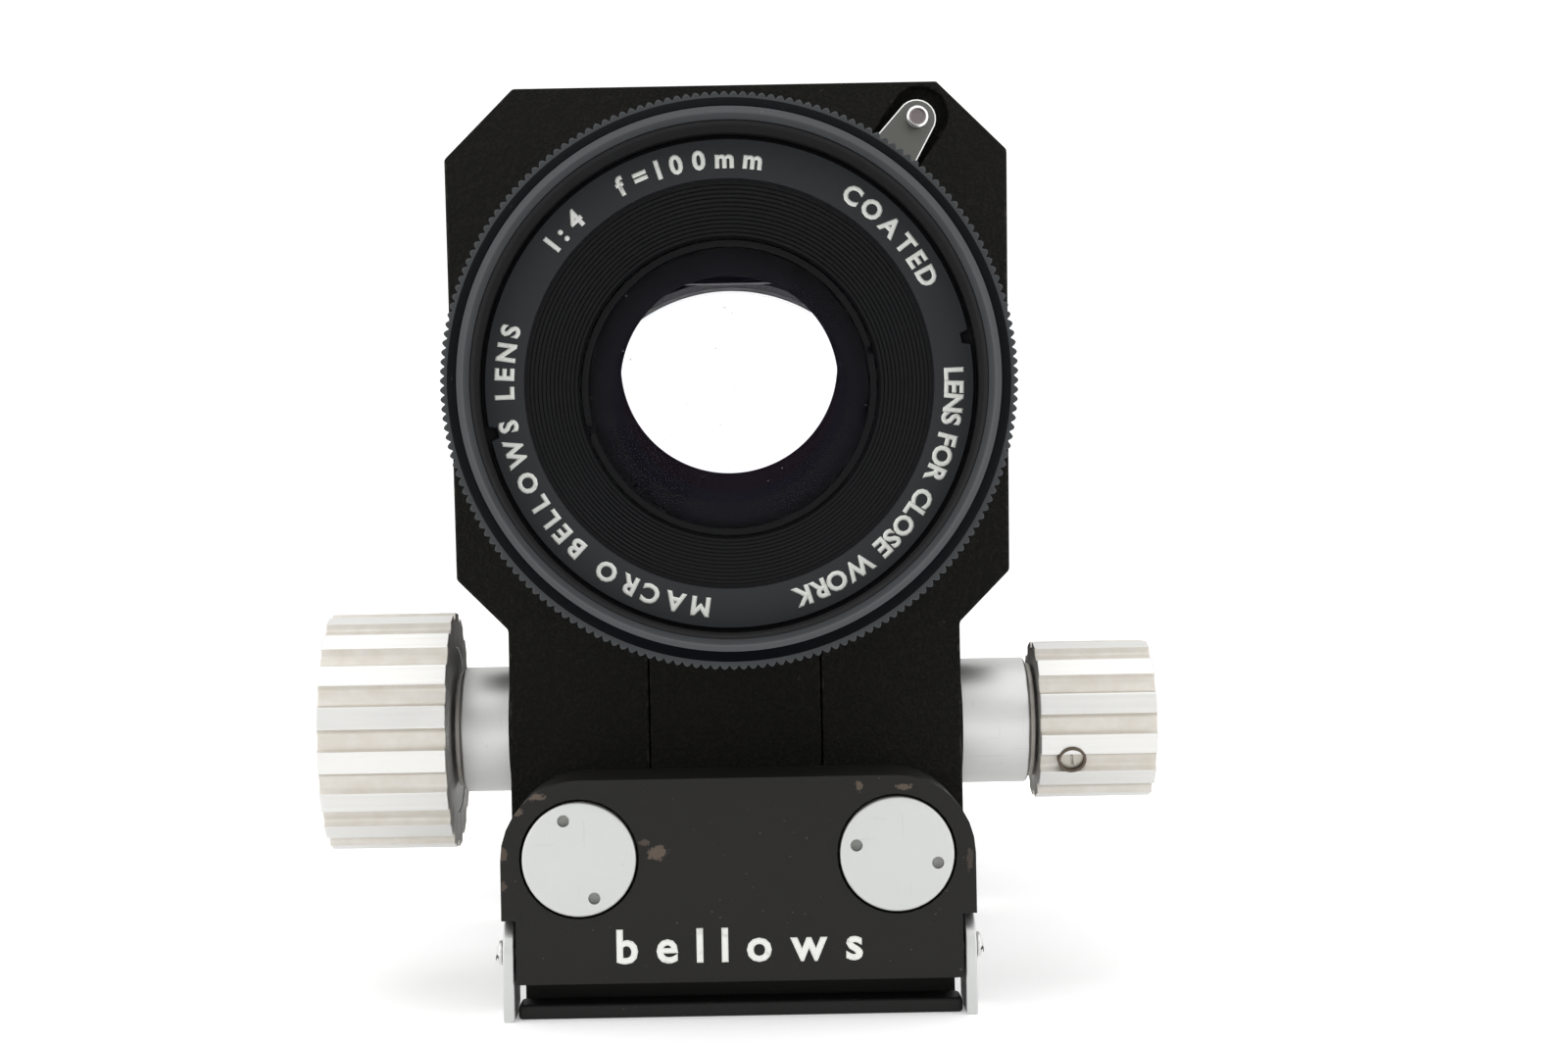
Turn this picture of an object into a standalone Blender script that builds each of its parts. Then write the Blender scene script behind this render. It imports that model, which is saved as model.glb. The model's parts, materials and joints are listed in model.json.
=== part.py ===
"""Macro bellows unit with a short-mount lens, as an assembly of separate pieces.

Frame: +Z up, the lens looks along -Y, and the origin is the middle of the tripod block's base face.
All sizes are in metres.
"""

import math

import bmesh
import bpy
from mathutils import Matrix, Vector

# Clearances
GAP = 0.0003
SEAM = 0.0002
RUN = 0.0003
BAR_RUN = 0.0004
BEYOND = 0.001

# Focusing rail
RAIL_LENGTH = 0.172
END_THICK = 0.013
END_BOTTOM = 0.0044
LIP_THICK = 0.004
LIP_BOTTOM = 0.0006
ROD_RADIUS = 0.006
ROD_SPREAD = 0.01835
ROD_HEIGHT = 0.0188
ROD_WALL = 0.0031
CAP_LIP = 0.0006
CAP_THICK = 0.003
CAP_PROUD = 0.0004
SPANNER_OFFSET = 0.0048
SPANNER_RADIUS = 0.0009
SPANNER_DEPTH = 0.0012
SPANNER_TURN = {"left": math.radians(111), "right": math.radians(167)}

# Rack: tooth pitch is pi times the module
MODULE = 0.001
RACK_HALF_WIDTH = 0.006
WEB_HALF_WIDTH = 0.003
FLANGE_THICK = 0.002
TOOTH_OUT = 0.0008
TOOTH_IN = 0.0012
TOOTH_WIDTH = 0.0012
TOOTH_TIP = 0.0006
FRONT_TEETH = 12
TRIPOD_TEETH = 8
PINION_HALF_WIDTH = 0.0034
PINION_CLEAR = 0.0005

# Standards
LENS_HEIGHT = 0.0726
KNOB_HEIGHT = 0.03215
PLATE_THICK = 0.012
REST_CLEARANCE = 0.002
PLATE_TOP_ABOVE_LENS = 0.0377
PLATE_SIDE_BELOW_LENS = 0.02165
PLATE_HALF_TOP = 0.0341
PLATE_HALF_LOW = 0.0335
PLATE_CHAMFER = 0.0084
NECK_CHAMFER = 0.0062
NECK_HALF = 0.02735
CARRIAGE_LENGTH = 0.024
CARRIAGE_TOP = 0.042
KNOB_BEHIND_FACE = 0.009
LIGHT_HOLE_RADIUS = 0.0225
COVER_HALF = 0.0103
COVER_TOP = 0.0418
COVER_BOTTOM = 0.0222
COVER_THICK = 0.0013
COVER_RELIEF_DEPTH = 0.003
SLIDE_TRAVEL = 0.042

# Drive and lock controls
SHAFT_RADIUS = 0.003
SLEEVE_RADIUS = 0.0077
LEFT_KNOB_RADIUS = 0.01455
LEFT_KNOB_START = 0.0346
LEFT_KNOB_LENGTH = 0.0154
LEFT_KNOB_GROOVES = 17
RIGHT_KNOB_RADIUS = 0.00975
RIGHT_KNOB_START = 0.0369
RIGHT_KNOB_LENGTH = 0.0142
RIGHT_KNOB_GROOVES = 12
GROOVE_DEPTH = 0.001
SET_SCREW_RADIUS = 0.0015
SET_SCREW_FROM_START = 0.0038
SET_SCREW_ANGLE = math.radians(27)
SMALL_KNOB_RADIUS = 0.007
SMALL_KNOB_LENGTH = 0.009
SMALL_KNOB_GROOVES = 12
SHAFT_END = 0.008
PAD_LENGTH = 0.003
KNOB_SKIN = 0.003

# Bellows and its frames
BELLOWS_HALF = 0.028
BELLOWS_WALL = 0.006
FRAME_THICK = 0.0027

# Tripod block
BLOCK_SIDE_WALL = 0.00115
BLOCK_HALF_LENGTH = 0.022
BLOCK_TOP = 0.0185
TRIPOD_AXIS_HEIGHT = 0.009
TRIPOD_SHAFT_RADIUS = 0.0018
TRIPOD_KNOB_RADIUS = 0.008
TRIPOD_KNOB_LENGTH = 0.007
TRIPOD_KNOB_GROOVES = 14
TRIPOD_SHAFT_OVER = 0.003
TRIPOD_TRAVEL = 0.034
SOCKET_OFFSET = 0.0135
SOCKET_DEPTH = 0.0095
SMALL_SOCKET = (0.003175, 0.0055)
LARGE_SOCKET = (0.00476, 0.0065)

# Fold-down bracket under the front end plate
BRACKET_THICK = 0.0013
BRACKET_OUTER = 0.0274
BRACKET_PIVOT_BEHIND = 0.0045
BRACKET_PIVOT_HEIGHT = 0.0075
BRACKET_ARM_RADIUS = 0.004
BRACKET_PLATE_THICK = 0.0017
BRACKET_PLATE_HALF = 0.0025
BRACKET_SCREW_RADIUS = 0.001
BRACKET_HEAD_RADIUS = 0.00145
BRACKET_HEAD_THICK = 0.0007
BRACKET_SCREW_DEPTH = 0.006

# Lens: heights are measured forward from the mounting flange
FLANGE_PROUD = 0.003
LENS_LENGTH = 0.035
RIM_LENGTH = 0.0027
FILTER_RADIUS = 0.0273
FILTER_WALL = 0.0011
RIM_LIP = 0.0018
REAR_LIP = 0.0022
KNURL_PROUD = 0.00095
KNURL_LENGTH = 0.0141
NAME_SETBACK = 0.0092
NAME_THICK = 0.0012
NAME_WIDTH = 0.0045
CONE_STEP = 0.0028
ELEMENT_RADIUS = 0.017
ELEMENT_FRONT = 0.0168
ELEMENT_BACK = 0.012
REAR_BORE = 0.020
BARREL_FOOT = (0.026, 0.005)
ELEMENT_BULGE = (-0.0008, 0.0018)
REAR_GLASS = (-0.006, -0.002)
REAR_GLASS_BULGE = (-0.0006, -0.0008)
CONE_RIM = 0.001
IRIS_PLATE_THICK = 0.001
BAYONET_RADIUS = 0.0219
BAYONET_LENGTH = 0.0085
BAYONET_BORE = 0.018
MOUNT_RING_RADIUS = 0.029
IRIS_BACK = 0.003
IRIS_PITCH = 0.00075
BLADE_THICK = 0.0003
BLADE_COUNT = 6
BLADE_INNER = 0.0149
BLADE_OUTER = 0.0192
BLADE_ARC = math.radians(96)

# Lens release lever
LEVER_ANGLE = math.radians(55)
LEVER_PIN_AT = 0.0405
LEVER_START = 0.0335
LEVER_TRAVEL = 0.0012
LEVER_END_RADIUS = 0.0024
LEVER_FOOT_HALF = 0.0032
POCKET_MARGIN = 0.0011
LEVER_THICK = 0.0012
LEVER_PIN_RADIUS = 0.0014
LEVER_PIN_PROUD = 0.0022

# Camera mount at the back
CAMERA_RING_RADIUS = 0.031
CAMERA_RING_BORE = 0.022
CAMERA_RING_THICK = 0.0052
CAMERA_RING_EDGE = 0.002
ROTATION_LOCK_AT = (0.0268, 0.0297)
ROTATION_HEAD = (0.0028, 0.0022)
ROTATION_SHANK = (0.001, 0.005)

# Sizes that follow from the ones above
RAIL_END = RAIL_LENGTH / 2
INNER_END = RAIL_END - END_THICK
CAP_RADIUS = ROD_RADIUS + CAP_LIP
END_CORNER = ROD_RADIUS + ROD_WALL
END_HALF = ROD_SPREAD + END_CORNER
PLATE_FRONT = -INNER_END + REST_CLEARANCE
BLOCK_HALF_WIDTH = ROD_SPREAD + ROD_RADIUS + BLOCK_SIDE_WALL
BARREL_WAIST = FILTER_RADIUS + FILTER_WALL
RIM_RADIUS = BARREL_WAIST + RIM_LIP
BARREL_REAR = BARREL_WAIST + REAR_LIP
KNURL_RADIUS = RIM_RADIUS + KNURL_PROUD
NAME_INNER = FILTER_RADIUS - GAP - NAME_WIDTH
CONE_BORE = FILTER_RADIUS - CONE_STEP
FRONT_AXIS_Y = PLATE_FRONT + KNOB_BEHIND_FACE
PITCH = math.pi * MODULE
FRONT_PITCH_RADIUS = MODULE * FRONT_TEETH / 2
TRIPOD_PITCH_RADIUS = MODULE * TRIPOD_TEETH / 2
UPPER_PITCH_LINE = KNOB_HEIGHT - FRONT_PITCH_RADIUS
LOWER_PITCH_LINE = TRIPOD_AXIS_HEIGHT + TRIPOD_PITCH_RADIUS
UPPER_ROOT = UPPER_PITCH_LINE - TOOTH_IN
LOWER_ROOT = LOWER_PITCH_LINE + TOOTH_IN
CARRIAGE_BOTTOM = ROD_HEIGHT + GAP
FLANGE_FACE = PLATE_FRONT - FLANGE_PROUD
LEVER_DIRECTION = Vector((math.cos(LEVER_ANGLE), 0, math.sin(LEVER_ANGLE)))
BRACKET_PIVOT_Y = -RAIL_END + BRACKET_PIVOT_BEHIND
NOTCH_TOP = BRACKET_PIVOT_HEIGHT + BRACKET_ARM_RADIUS + GAP
NOTCH_HALF = BRACKET_OUTER - BRACKET_THICK - GAP

# Local axes of flat and turned pieces, as columns x, y, z
FACING_FRONT = Matrix(((1, 0, 0, 0), (0, 0, -1, 0), (0, 1, 0, 0), (0, 0, 0, 1)))
FACING_BACK = Matrix(((-1, 0, 0, 0), (0, 0, 1, 0), (0, 1, 0, 0), (0, 0, 0, 1)))
FACING_RIGHT = Matrix(((0, 0, 1, 0), (1, 0, 0, 0), (0, 1, 0, 0), (0, 0, 0, 1)))
FACING_LEFT = Matrix(((0, 0, -1, 0), (-1, 0, 0, 0), (0, 1, 0, 0), (0, 0, 0, 1)))
FACING_UP = Matrix.Identity(4)

FINISHES = {
    "crinkle_black": ((0.016, 0.016, 0.014), 0.62, 0.0),
    "satin_black": ((0.022, 0.022, 0.021), 0.42, 0.0),
    "lens_black": ((0.018, 0.022, 0.028), 0.3, 0.0),
    "name_blue": ((0.03, 0.034, 0.04), 0.4, 0.0),
    "silver": ((0.75, 0.74, 0.71), 0.33, 1.0),
    "steel": ((0.55, 0.55, 0.55), 0.3, 1.0),
    "brass": ((0.6, 0.42, 0.16), 0.35, 1.0),
    "cloth_black": ((0.012, 0.012, 0.012), 0.85, 0.0),
    "glass": ((0.75, 0.8, 0.95), 0.03, 0.0),
}


def clear_scene():
    """Removes whatever the scene holds."""
    for item in list(bpy.data.objects):
        bpy.data.objects.remove(item)


def make_collection(name):
    """A new collection in the scene."""
    group = bpy.data.collections.new(name)
    bpy.context.scene.collection.children.link(group)
    return group


def make_material(part_name, finish):
    """A Principled material for one part, in one of the finishes."""
    colour, roughness, metallic = FINISHES[finish]
    material = bpy.data.materials.new(f"{part_name}_{finish}")
    material.use_nodes = True
    shader = material.node_tree.nodes["Principled BSDF"]
    shader.inputs["Base Color"].default_value = (*colour, 1)
    shader.inputs["Roughness"].default_value = roughness
    shader.inputs["Metallic"].default_value = metallic
    return material


def add_object(name, mesh, finish, place):
    """Puts a mesh in the scene as a part."""
    item = bpy.data.objects.new(name, mesh)
    item.matrix_world = place
    mesh.materials.append(make_material(name, finish))
    PARTS.objects.link(item)
    return item


def as_cutter(item):
    """Turns a part into a helper that isn't rendered."""
    PARTS.objects.unlink(item)
    CUTTERS.objects.link(item)
    item.hide_render = True
    item.display_type = "WIRE"
    return item


def block(name, low, high, finish="satin_black"):
    """A box between two corners."""
    low = Vector(low)
    high = Vector(high)
    shape = bmesh.new()
    bmesh.ops.create_cube(shape, size=1)
    bmesh.ops.scale(shape, vec=high - low, verts=shape.verts)
    mesh = bpy.data.meshes.new(name)
    shape.to_mesh(mesh)
    shape.free()
    return add_object(name, mesh, finish, Matrix.Translation((low + high) / 2))


def cylinder(name, start, end, radius, finish="satin_black", sides=24):
    """A round bar between two points."""
    start = Vector(start)
    end = Vector(end)
    run = end - start
    shape = bmesh.new()
    bmesh.ops.create_cone(
        shape, cap_ends=True, segments=sides, radius1=radius, radius2=radius, depth=run.length
    )
    mesh = bpy.data.meshes.new(name)
    shape.to_mesh(mesh)
    shape.free()
    turn = run.to_track_quat("Z", "Y").to_matrix().to_4x4()
    return shade(add_object(name, mesh, finish, Matrix.Translation((start + end) / 2) @ turn))


def shade(item):
    """Smooth shading with sharp corners kept."""
    item.data.shade_smooth()
    item.data.set_sharp_from_angle(angle=math.radians(35))
    return item


def turned(name, profile, centre, facing, finish, steps=48, closed=True):
    """A turned piece: (radius, height) points down the outer side, then up the inner side."""
    mesh = bpy.data.meshes.new(name)
    edges = [(i, i + 1) for i in range(len(profile) - 1)]
    if closed:
        edges.append((len(profile) - 1, 0))
    mesh.from_pydata([(radius, 0, height) for radius, height in profile], edges, [])
    item = add_object(name, mesh, finish, Matrix.Translation(centre) @ facing)
    screw = item.modifiers.new("Turn", "SCREW")
    screw.steps = steps
    screw.render_steps = steps
    screw.use_merge_vertices = True
    screw.merge_threshold = 0.00001
    return item


def ring(name, outer, inner, bottom, top, centre, facing, finish, steps=48):
    """A plain turned ring."""
    profile = [(outer, top), (outer, bottom), (inner, bottom), (inner, top)]
    return turned(name, profile, centre, facing, finish, steps)


def outline(name, loops, thick, centre, facing, finish="satin_black"):
    """A flat outline with holes, thick along its local z, as a mesh."""
    curve = bpy.data.curves.new(name, "CURVE")
    curve.dimensions = "2D"
    curve.fill_mode = "BOTH"
    curve.extrude = thick / 2
    for loop in loops:
        spline = curve.splines.new("POLY")
        spline.points.add(len(loop) - 1)
        spline.use_cyclic_u = True
        for point, (x, y) in zip(spline.points, loop):
            point.co = (x, y, 0, 1)
    guide = bpy.data.objects.new(name, curve)
    PARTS.objects.link(guide)
    bpy.context.view_layer.update()
    graph = bpy.context.evaluated_depsgraph_get()
    mesh = bpy.data.meshes.new_from_object(guide.evaluated_get(graph))
    bpy.data.objects.remove(guide)
    shape = bmesh.new()
    shape.from_mesh(mesh)
    bmesh.ops.remove_doubles(shape, verts=shape.verts, dist=0.000001)
    bmesh.ops.dissolve_limit(shape, angle_limit=0.001, verts=shape.verts, edges=shape.edges)
    bmesh.ops.recalc_face_normals(shape, faces=shape.faces)
    shape.to_mesh(mesh)
    shape.free()
    return add_object(name, mesh, finish, Matrix.Translation(centre) @ facing)


def combine(target, other, operation="DIFFERENCE", solver="EXACT"):
    """A Boolean of the target with a helper."""
    as_cutter(other)
    change = target.modifiers.new(other.name, "BOOLEAN")
    change.operation = operation
    change.solver = solver
    change.object = other


def arc(centre, radius, start, end, count):
    """Points along an arc, both ends included."""
    steps = [start + (end - start) * i / (count - 1) for i in range(count)]
    return [(centre[0] + radius * math.cos(a), centre[1] + radius * math.sin(a)) for a in steps]


def circle(radius, count=48, centre=(0, 0)):
    """Points round a circle."""
    return arc(centre, radius, 0, math.tau * (count - 1) / count, count)


def grooved(radius, count, depth, width_share=0.46):
    """A knob's outline: lands on a circle, with a rounded groove between each two."""
    points = []
    for i in range(count):
        middle = math.tau * i / count
        half = math.pi / count * width_share
        for share, down in ((-1, 0), (-0.55, 0.8), (0, 1), (0.55, 0.8), (1, 0)):
            reach = radius - depth * down
            angle = middle + share * half
            points.append((reach * math.cos(angle), reach * math.sin(angle)))
    return points


def gear(teeth, pitch_radius, turn):
    """A pinion's outline, with one tooth at the given angle."""
    points = []
    root = pitch_radius - TOOTH_IN
    tip = pitch_radius + TOOTH_OUT
    foot = TOOTH_WIDTH + TOOTH_IN * (TOOTH_WIDTH - TOOTH_TIP) / TOOTH_OUT
    for i in range(teeth):
        angle = turn + math.tau * i / teeth
        for reach, width in ((root, -foot), (tip, -TOOTH_TIP), (tip, TOOTH_TIP), (root, foot)):
            side = math.asin(width / 2 / reach)
            points.append((reach * math.cos(angle + side), reach * math.sin(angle + side)))
    return points


def rack_teeth(first, count, line, way):
    """Rack teeth along y, pointing up or down from a pitch line, starting at the first centre."""
    points = []
    root = line - way * TOOTH_IN
    tip = line + way * TOOTH_OUT
    foot = TOOTH_WIDTH + TOOTH_IN * (TOOTH_WIDTH - TOOTH_TIP) / TOOTH_OUT
    for i in range(count):
        middle = first + PITCH * i
        points.append((middle - foot / 2, root))
        points.append((middle - TOOTH_TIP / 2, tip))
        points.append((middle + TOOTH_TIP / 2, tip))
        points.append((middle + foot / 2, root))
    return points


def lens_shape(radius, back, front, back_bulge, front_bulge, count=5):
    """A glass's profile from its front pole, down its edge, to its back pole."""
    shares = [i / (count - 1) for i in range(count)]
    domed = [(radius * s, front + front_bulge * (1 - s * s)) for s in shares]
    hollow = [(radius * (1 - s), back - back_bulge * (1 - (1 - s) ** 2)) for s in shares]
    return domed + hollow


def end_plate(name, way):
    """A rail end plate; way is -1 at the front and 1 at the back."""
    points = [(-NOTCH_HALF, END_BOTTOM), (NOTCH_HALF, END_BOTTOM), (NOTCH_HALF, NOTCH_TOP)]
    points.append((END_HALF, NOTCH_TOP))
    points += arc((ROD_SPREAD, ROD_HEIGHT), END_CORNER, 0, math.pi / 2, 9)
    points += arc((-ROD_SPREAD, ROD_HEIGHT), END_CORNER, math.pi / 2, math.pi, 9)
    points += [(-END_HALF, NOTCH_TOP), (-NOTCH_HALF, NOTCH_TOP)]
    bores = [circle(ROD_RADIUS + GAP, 24, (side * ROD_SPREAD, ROD_HEIGHT)) for side in (-1, 1)]
    centre = (0, way * (RAIL_END - END_THICK / 2), 0)
    plate = outline(name, [points] + bores, END_THICK, centre, FACING_FRONT)
    for side, label in ((-1, "left"), (1, "right")):
        x = side * ROD_SPREAD
        seat = (x, way * (RAIL_END - CAP_THICK - GAP), ROD_HEIGHT)
        beyond = (x, way * (RAIL_END + 2 * BEYOND), ROD_HEIGHT)
        hollow = cylinder(f"{name}_seat_{label}", seat, beyond, CAP_RADIUS + GAP, sides=32)
        combine(plate, hollow, solver="MANIFOLD")
        rod_cap(f"{name.split('_')[0]}_rod_cap_{label}", x, way, SPANNER_TURN[label])
    add_lip(plate, way)
    return plate


def add_lip(plate, way):
    """The lip that hangs from the inner side of an end plate, behind the bracket's swing."""
    ends = sorted((way * INNER_END, way * (INNER_END + LIP_THICK)))
    overlap = (NOTCH_TOP - END_BOTTOM) / 2
    low = (-NOTCH_HALF + GAP, ends[0] + GAP, LIP_BOTTOM)
    high = (NOTCH_HALF - GAP, ends[1], END_BOTTOM + overlap)
    combine(plate, block(f"{plate.name}_lip", low, high), "UNION", "MANIFOLD")


def rod_cap(name, x, way, turn):
    """The round cap over a rod's end, with two spanner holes."""
    inner = (x, way * (RAIL_END - CAP_THICK), ROD_HEIGHT)
    outer = (x, way * (RAIL_END + CAP_PROUD), ROD_HEIGHT)
    cap = cylinder(name, inner, outer, CAP_RADIUS, "silver", 32)
    for side in (-1, 1):
        hole_x = x - way * side * SPANNER_OFFSET * math.cos(turn)
        z = ROD_HEIGHT + side * SPANNER_OFFSET * math.sin(turn)
        hole_start = (hole_x, way * (RAIL_END - SPANNER_DEPTH), z)
        hole_end = (hole_x, way * (RAIL_END + 2 * BEYOND), z)
        hole = cylinder(f"{name}_hole_{side}", hole_start, hole_end, SPANNER_RADIUS, sides=12)
        combine(cap, hole)
    ride(cap, "rail")


def rail():
    """End plates, rods and the rack bar between the standards and the tripod block."""
    ride(end_plate("front_end_plate", -1), "rail")
    ride(end_plate("rear_end_plate", 1), "rail")
    rod_end = RAIL_END - CAP_THICK - 2 * GAP
    for side, label in ((-1, "left"), (1, "right")):
        x = side * ROD_SPREAD
        start = (x, -rod_end, ROD_HEIGHT)
        ride(cylinder(f"rod_{label}", start, (x, rod_end, ROD_HEIGHT), ROD_RADIUS, "silver"), "rail")
    ride(rack_bar(), "rail")


def rack_bar():
    """The I-shaped bar, with teeth on top for the standard and below for the tripod block."""
    end = INNER_END - GAP
    reach = math.ceil((TRIPOD_TRAVEL + 2 * PITCH) / PITCH)
    lower = rack_teeth((0.5 - reach) * PITCH, 2 * reach, LOWER_PITCH_LINE, -1)
    count = math.ceil((SLIDE_TRAVEL + 3 * PITCH) / PITCH) + 2
    upper = rack_teeth(FRONT_AXIS_Y - 1.5 * PITCH, count, UPPER_PITCH_LINE, 1)
    points = [(-end, LOWER_ROOT)] + lower + [(end, LOWER_ROOT), (end, UPPER_ROOT)]
    points += upper[::-1] + [(-end, UPPER_ROOT)]
    bar = outline("rack_bar", [points], 2 * RACK_HALF_WIDTH, (0, 0, 0), FACING_RIGHT, "steel")
    for side in (-1, 1):
        inner = side * WEB_HALF_WIDTH
        outer = side * (RACK_HALF_WIDTH + BEYOND)
        low = (min(inner, outer), -RAIL_END, LOWER_ROOT + FLANGE_THICK)
        high = (max(inner, outer), RAIL_END, UPPER_ROOT - FLANGE_THICK)
        combine(bar, block(f"rack_channel_{side}", low, high), solver="MANIFOLD")
    return bar


def standard_outline():
    """The eight-sided plate above its narrower neck, about the lens axis height."""
    top = LENS_HEIGHT + PLATE_TOP_ABOVE_LENS
    side_end = LENS_HEIGHT - PLATE_SIDE_BELOW_LENS
    right = [
        (NECK_HALF, CARRIAGE_BOTTOM),
        (NECK_HALF, side_end - NECK_CHAMFER),
        (PLATE_HALF_LOW, side_end),
        (PLATE_HALF_TOP, top - PLATE_CHAMFER),
        (PLATE_HALF_TOP - PLATE_CHAMFER, top),
    ]
    return right + [(-x, z) for x, z in reversed(right)]


def standard_frame(name, way):
    """A standard's plate and carriage in one casting; way is -1 at the front and 1 at the back."""
    face = -way * PLATE_FRONT
    inner_face = face - way * CARRIAGE_LENGTH
    hole = circle(LIGHT_HOLE_RADIUS, 48, (0, LENS_HEIGHT))
    centre = (0, face - way * PLATE_THICK / 2, 0)
    frame = outline(name, [standard_outline(), hole], PLATE_THICK, centre, FACING_FRONT, "crinkle_black")
    plate_inside = face - way * PLATE_THICK / 2
    ends = sorted((plate_inside, inner_face))
    low = (-NECK_HALF, ends[0], CARRIAGE_BOTTOM)
    combine(frame, block(f"{name}_carriage", low, (NECK_HALF, ends[1], CARRIAGE_TOP)), "UNION")
    for side in (-1, 1):
        x = side * ROD_SPREAD
        start = (x, -RAIL_END, ROD_HEIGHT)
        groove = cylinder(f"{name}_groove_{side}", start, (x, RAIL_END, ROD_HEIGHT), ROD_RADIUS + RUN)
        combine(frame, groove)
    wide = RACK_HALF_WIDTH + BAR_RUN
    slot_low = (-wide, -RAIL_END, UPPER_ROOT - FLANGE_THICK - GAP)
    slot_high = (wide, RAIL_END, UPPER_PITCH_LINE + TOOTH_OUT + 2 * GAP)
    combine(frame, block(f"{name}_slot", slot_low, slot_high))
    narrow = WEB_HALF_WIDTH + BAR_RUN
    throat_low = (-narrow, -RAIL_END, CARRIAGE_BOTTOM - BEYOND)
    throat_high = (narrow, RAIL_END, slot_low[2] + BEYOND)
    combine(frame, block(f"{name}_throat", throat_low, throat_high))
    return frame


def front_standard():
    """The front standard with its gear cover, lens ring, sleeves and bellows frame."""
    frame = standard_frame("front_standard_frame", -1)
    tip = FRONT_PITCH_RADIUS + TOOTH_OUT + GAP
    cover_back = PLATE_FRONT + COVER_THICK + GAP
    well_low = (-PINION_HALF_WIDTH - GAP, cover_back - PINION_CLEAR, UPPER_PITCH_LINE)
    well_high = (PINION_HALF_WIDTH + GAP, FRONT_AXIS_Y + tip, KNOB_HEIGHT + tip)
    combine(frame, block("pinion_well", well_low, well_high))
    recess_low = (-COVER_HALF - SEAM, PLATE_FRONT - BEYOND, COVER_BOTTOM - SEAM)
    recess_high = (COVER_HALF + SEAM, cover_back, COVER_TOP + SEAM)
    combine(frame, block("cover_recess", recess_low, recess_high))
    axis_start = (-NECK_HALF - BEYOND, FRONT_AXIS_Y, KNOB_HEIGHT)
    axis_end = (NECK_HALF + BEYOND, FRONT_AXIS_Y, KNOB_HEIGHT)
    combine(frame, cylinder("drive_bore", axis_start, axis_end, SHAFT_RADIUS + RUN))
    combine(frame, lever_pocket())
    ride(frame, "front_standard")
    cover_low = (-COVER_HALF, PLATE_FRONT, COVER_BOTTOM)
    cover_high = (COVER_HALF, PLATE_FRONT + COVER_THICK, COVER_TOP)
    gear_cover = block("gear_cover", cover_low, cover_high, "crinkle_black")
    slot_reach = RACK_HALF_WIDTH + 2 * GAP
    slot_high = UPPER_PITCH_LINE + TOOTH_OUT + 2 * GAP
    relief_low = (-slot_reach, PLATE_FRONT - BEYOND, COVER_BOTTOM - BEYOND)
    relief = block("cover_relief", relief_low, (slot_reach, PLATE_FRONT + COVER_RELIEF_DEPTH, slot_high))
    combine(gear_cover, relief)
    ride(gear_cover, "front_standard")
    lens_ring_back = PLATE_FRONT - GAP
    lens_ring = ring(
        "lens_mount_ring", MOUNT_RING_RADIUS, BAYONET_RADIUS + GAP, 0, FLANGE_PROUD - GAP,
        (0, lens_ring_back, LENS_HEIGHT), FACING_FRONT, "silver",
    )
    ride(lens_ring, "front_standard")
    ride(bellows_frame("front_bellows_frame", -1), "front_standard")
    bore = SHAFT_RADIUS + RUN
    for side, label, end in ((-1, "left", LEFT_KNOB_START), (1, "right", RIGHT_KNOB_START)):
        length = end - NECK_HALF - 2 * GAP
        facing = FACING_LEFT if side < 0 else FACING_RIGHT
        centre = (side * (NECK_HALF + GAP), FRONT_AXIS_Y, KNOB_HEIGHT)
        sleeve = ring(f"front_sleeve_{label}", SLEEVE_RADIUS, bore, 0, length, centre, facing, "silver", 32)
        ride(sleeve, "front_standard")
    pad_start = (SHAFT_END + GAP, FRONT_AXIS_Y, KNOB_HEIGHT)
    pad_end = (SHAFT_END + GAP + PAD_LENGTH, FRONT_AXIS_Y, KNOB_HEIGHT)
    ride(cylinder("front_lock_pad", pad_start, pad_end, SHAFT_RADIUS, "brass", 16), "front_standard")


def bellows_frame(name, way):
    """The square frame that clamps the bellows to a standard."""
    half = BELLOWS_HALF - GAP
    inner = BELLOWS_HALF - BELLOWS_WALL
    square = [(-1, -1), (1, -1), (1, 1), (-1, 1)]
    outer_loop = [(half * x, LENS_HEIGHT + half * z) for x, z in square]
    inner_loop = [(inner * x, LENS_HEIGHT + inner * z) for x, z in square]
    back = -PLATE_FRONT - PLATE_THICK - GAP
    centre = (0, way * (back - FRAME_THICK / 2), 0)
    return outline(name, [outer_loop, inner_loop], FRAME_THICK, centre, FACING_FRONT)


def grooved_knob(name, radius, start, length, grooves, bore, side, y, z, finish="silver"):
    """A grooved knob on a left (-1) or right (1) shaft, with a blind bore from its inner face."""
    centre = (side * (start + length / 2), y, z)
    knob = outline(name, [grooved(radius, grooves, GROOVE_DEPTH)], length, centre, FACING_RIGHT, finish)
    bore_start = (side * (start - BEYOND), y, z)
    bore_end = (side * (start + length - KNOB_SKIN), y, z)
    combine(knob, cylinder(f"{name}_bore", bore_start, bore_end, bore))
    return knob


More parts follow.
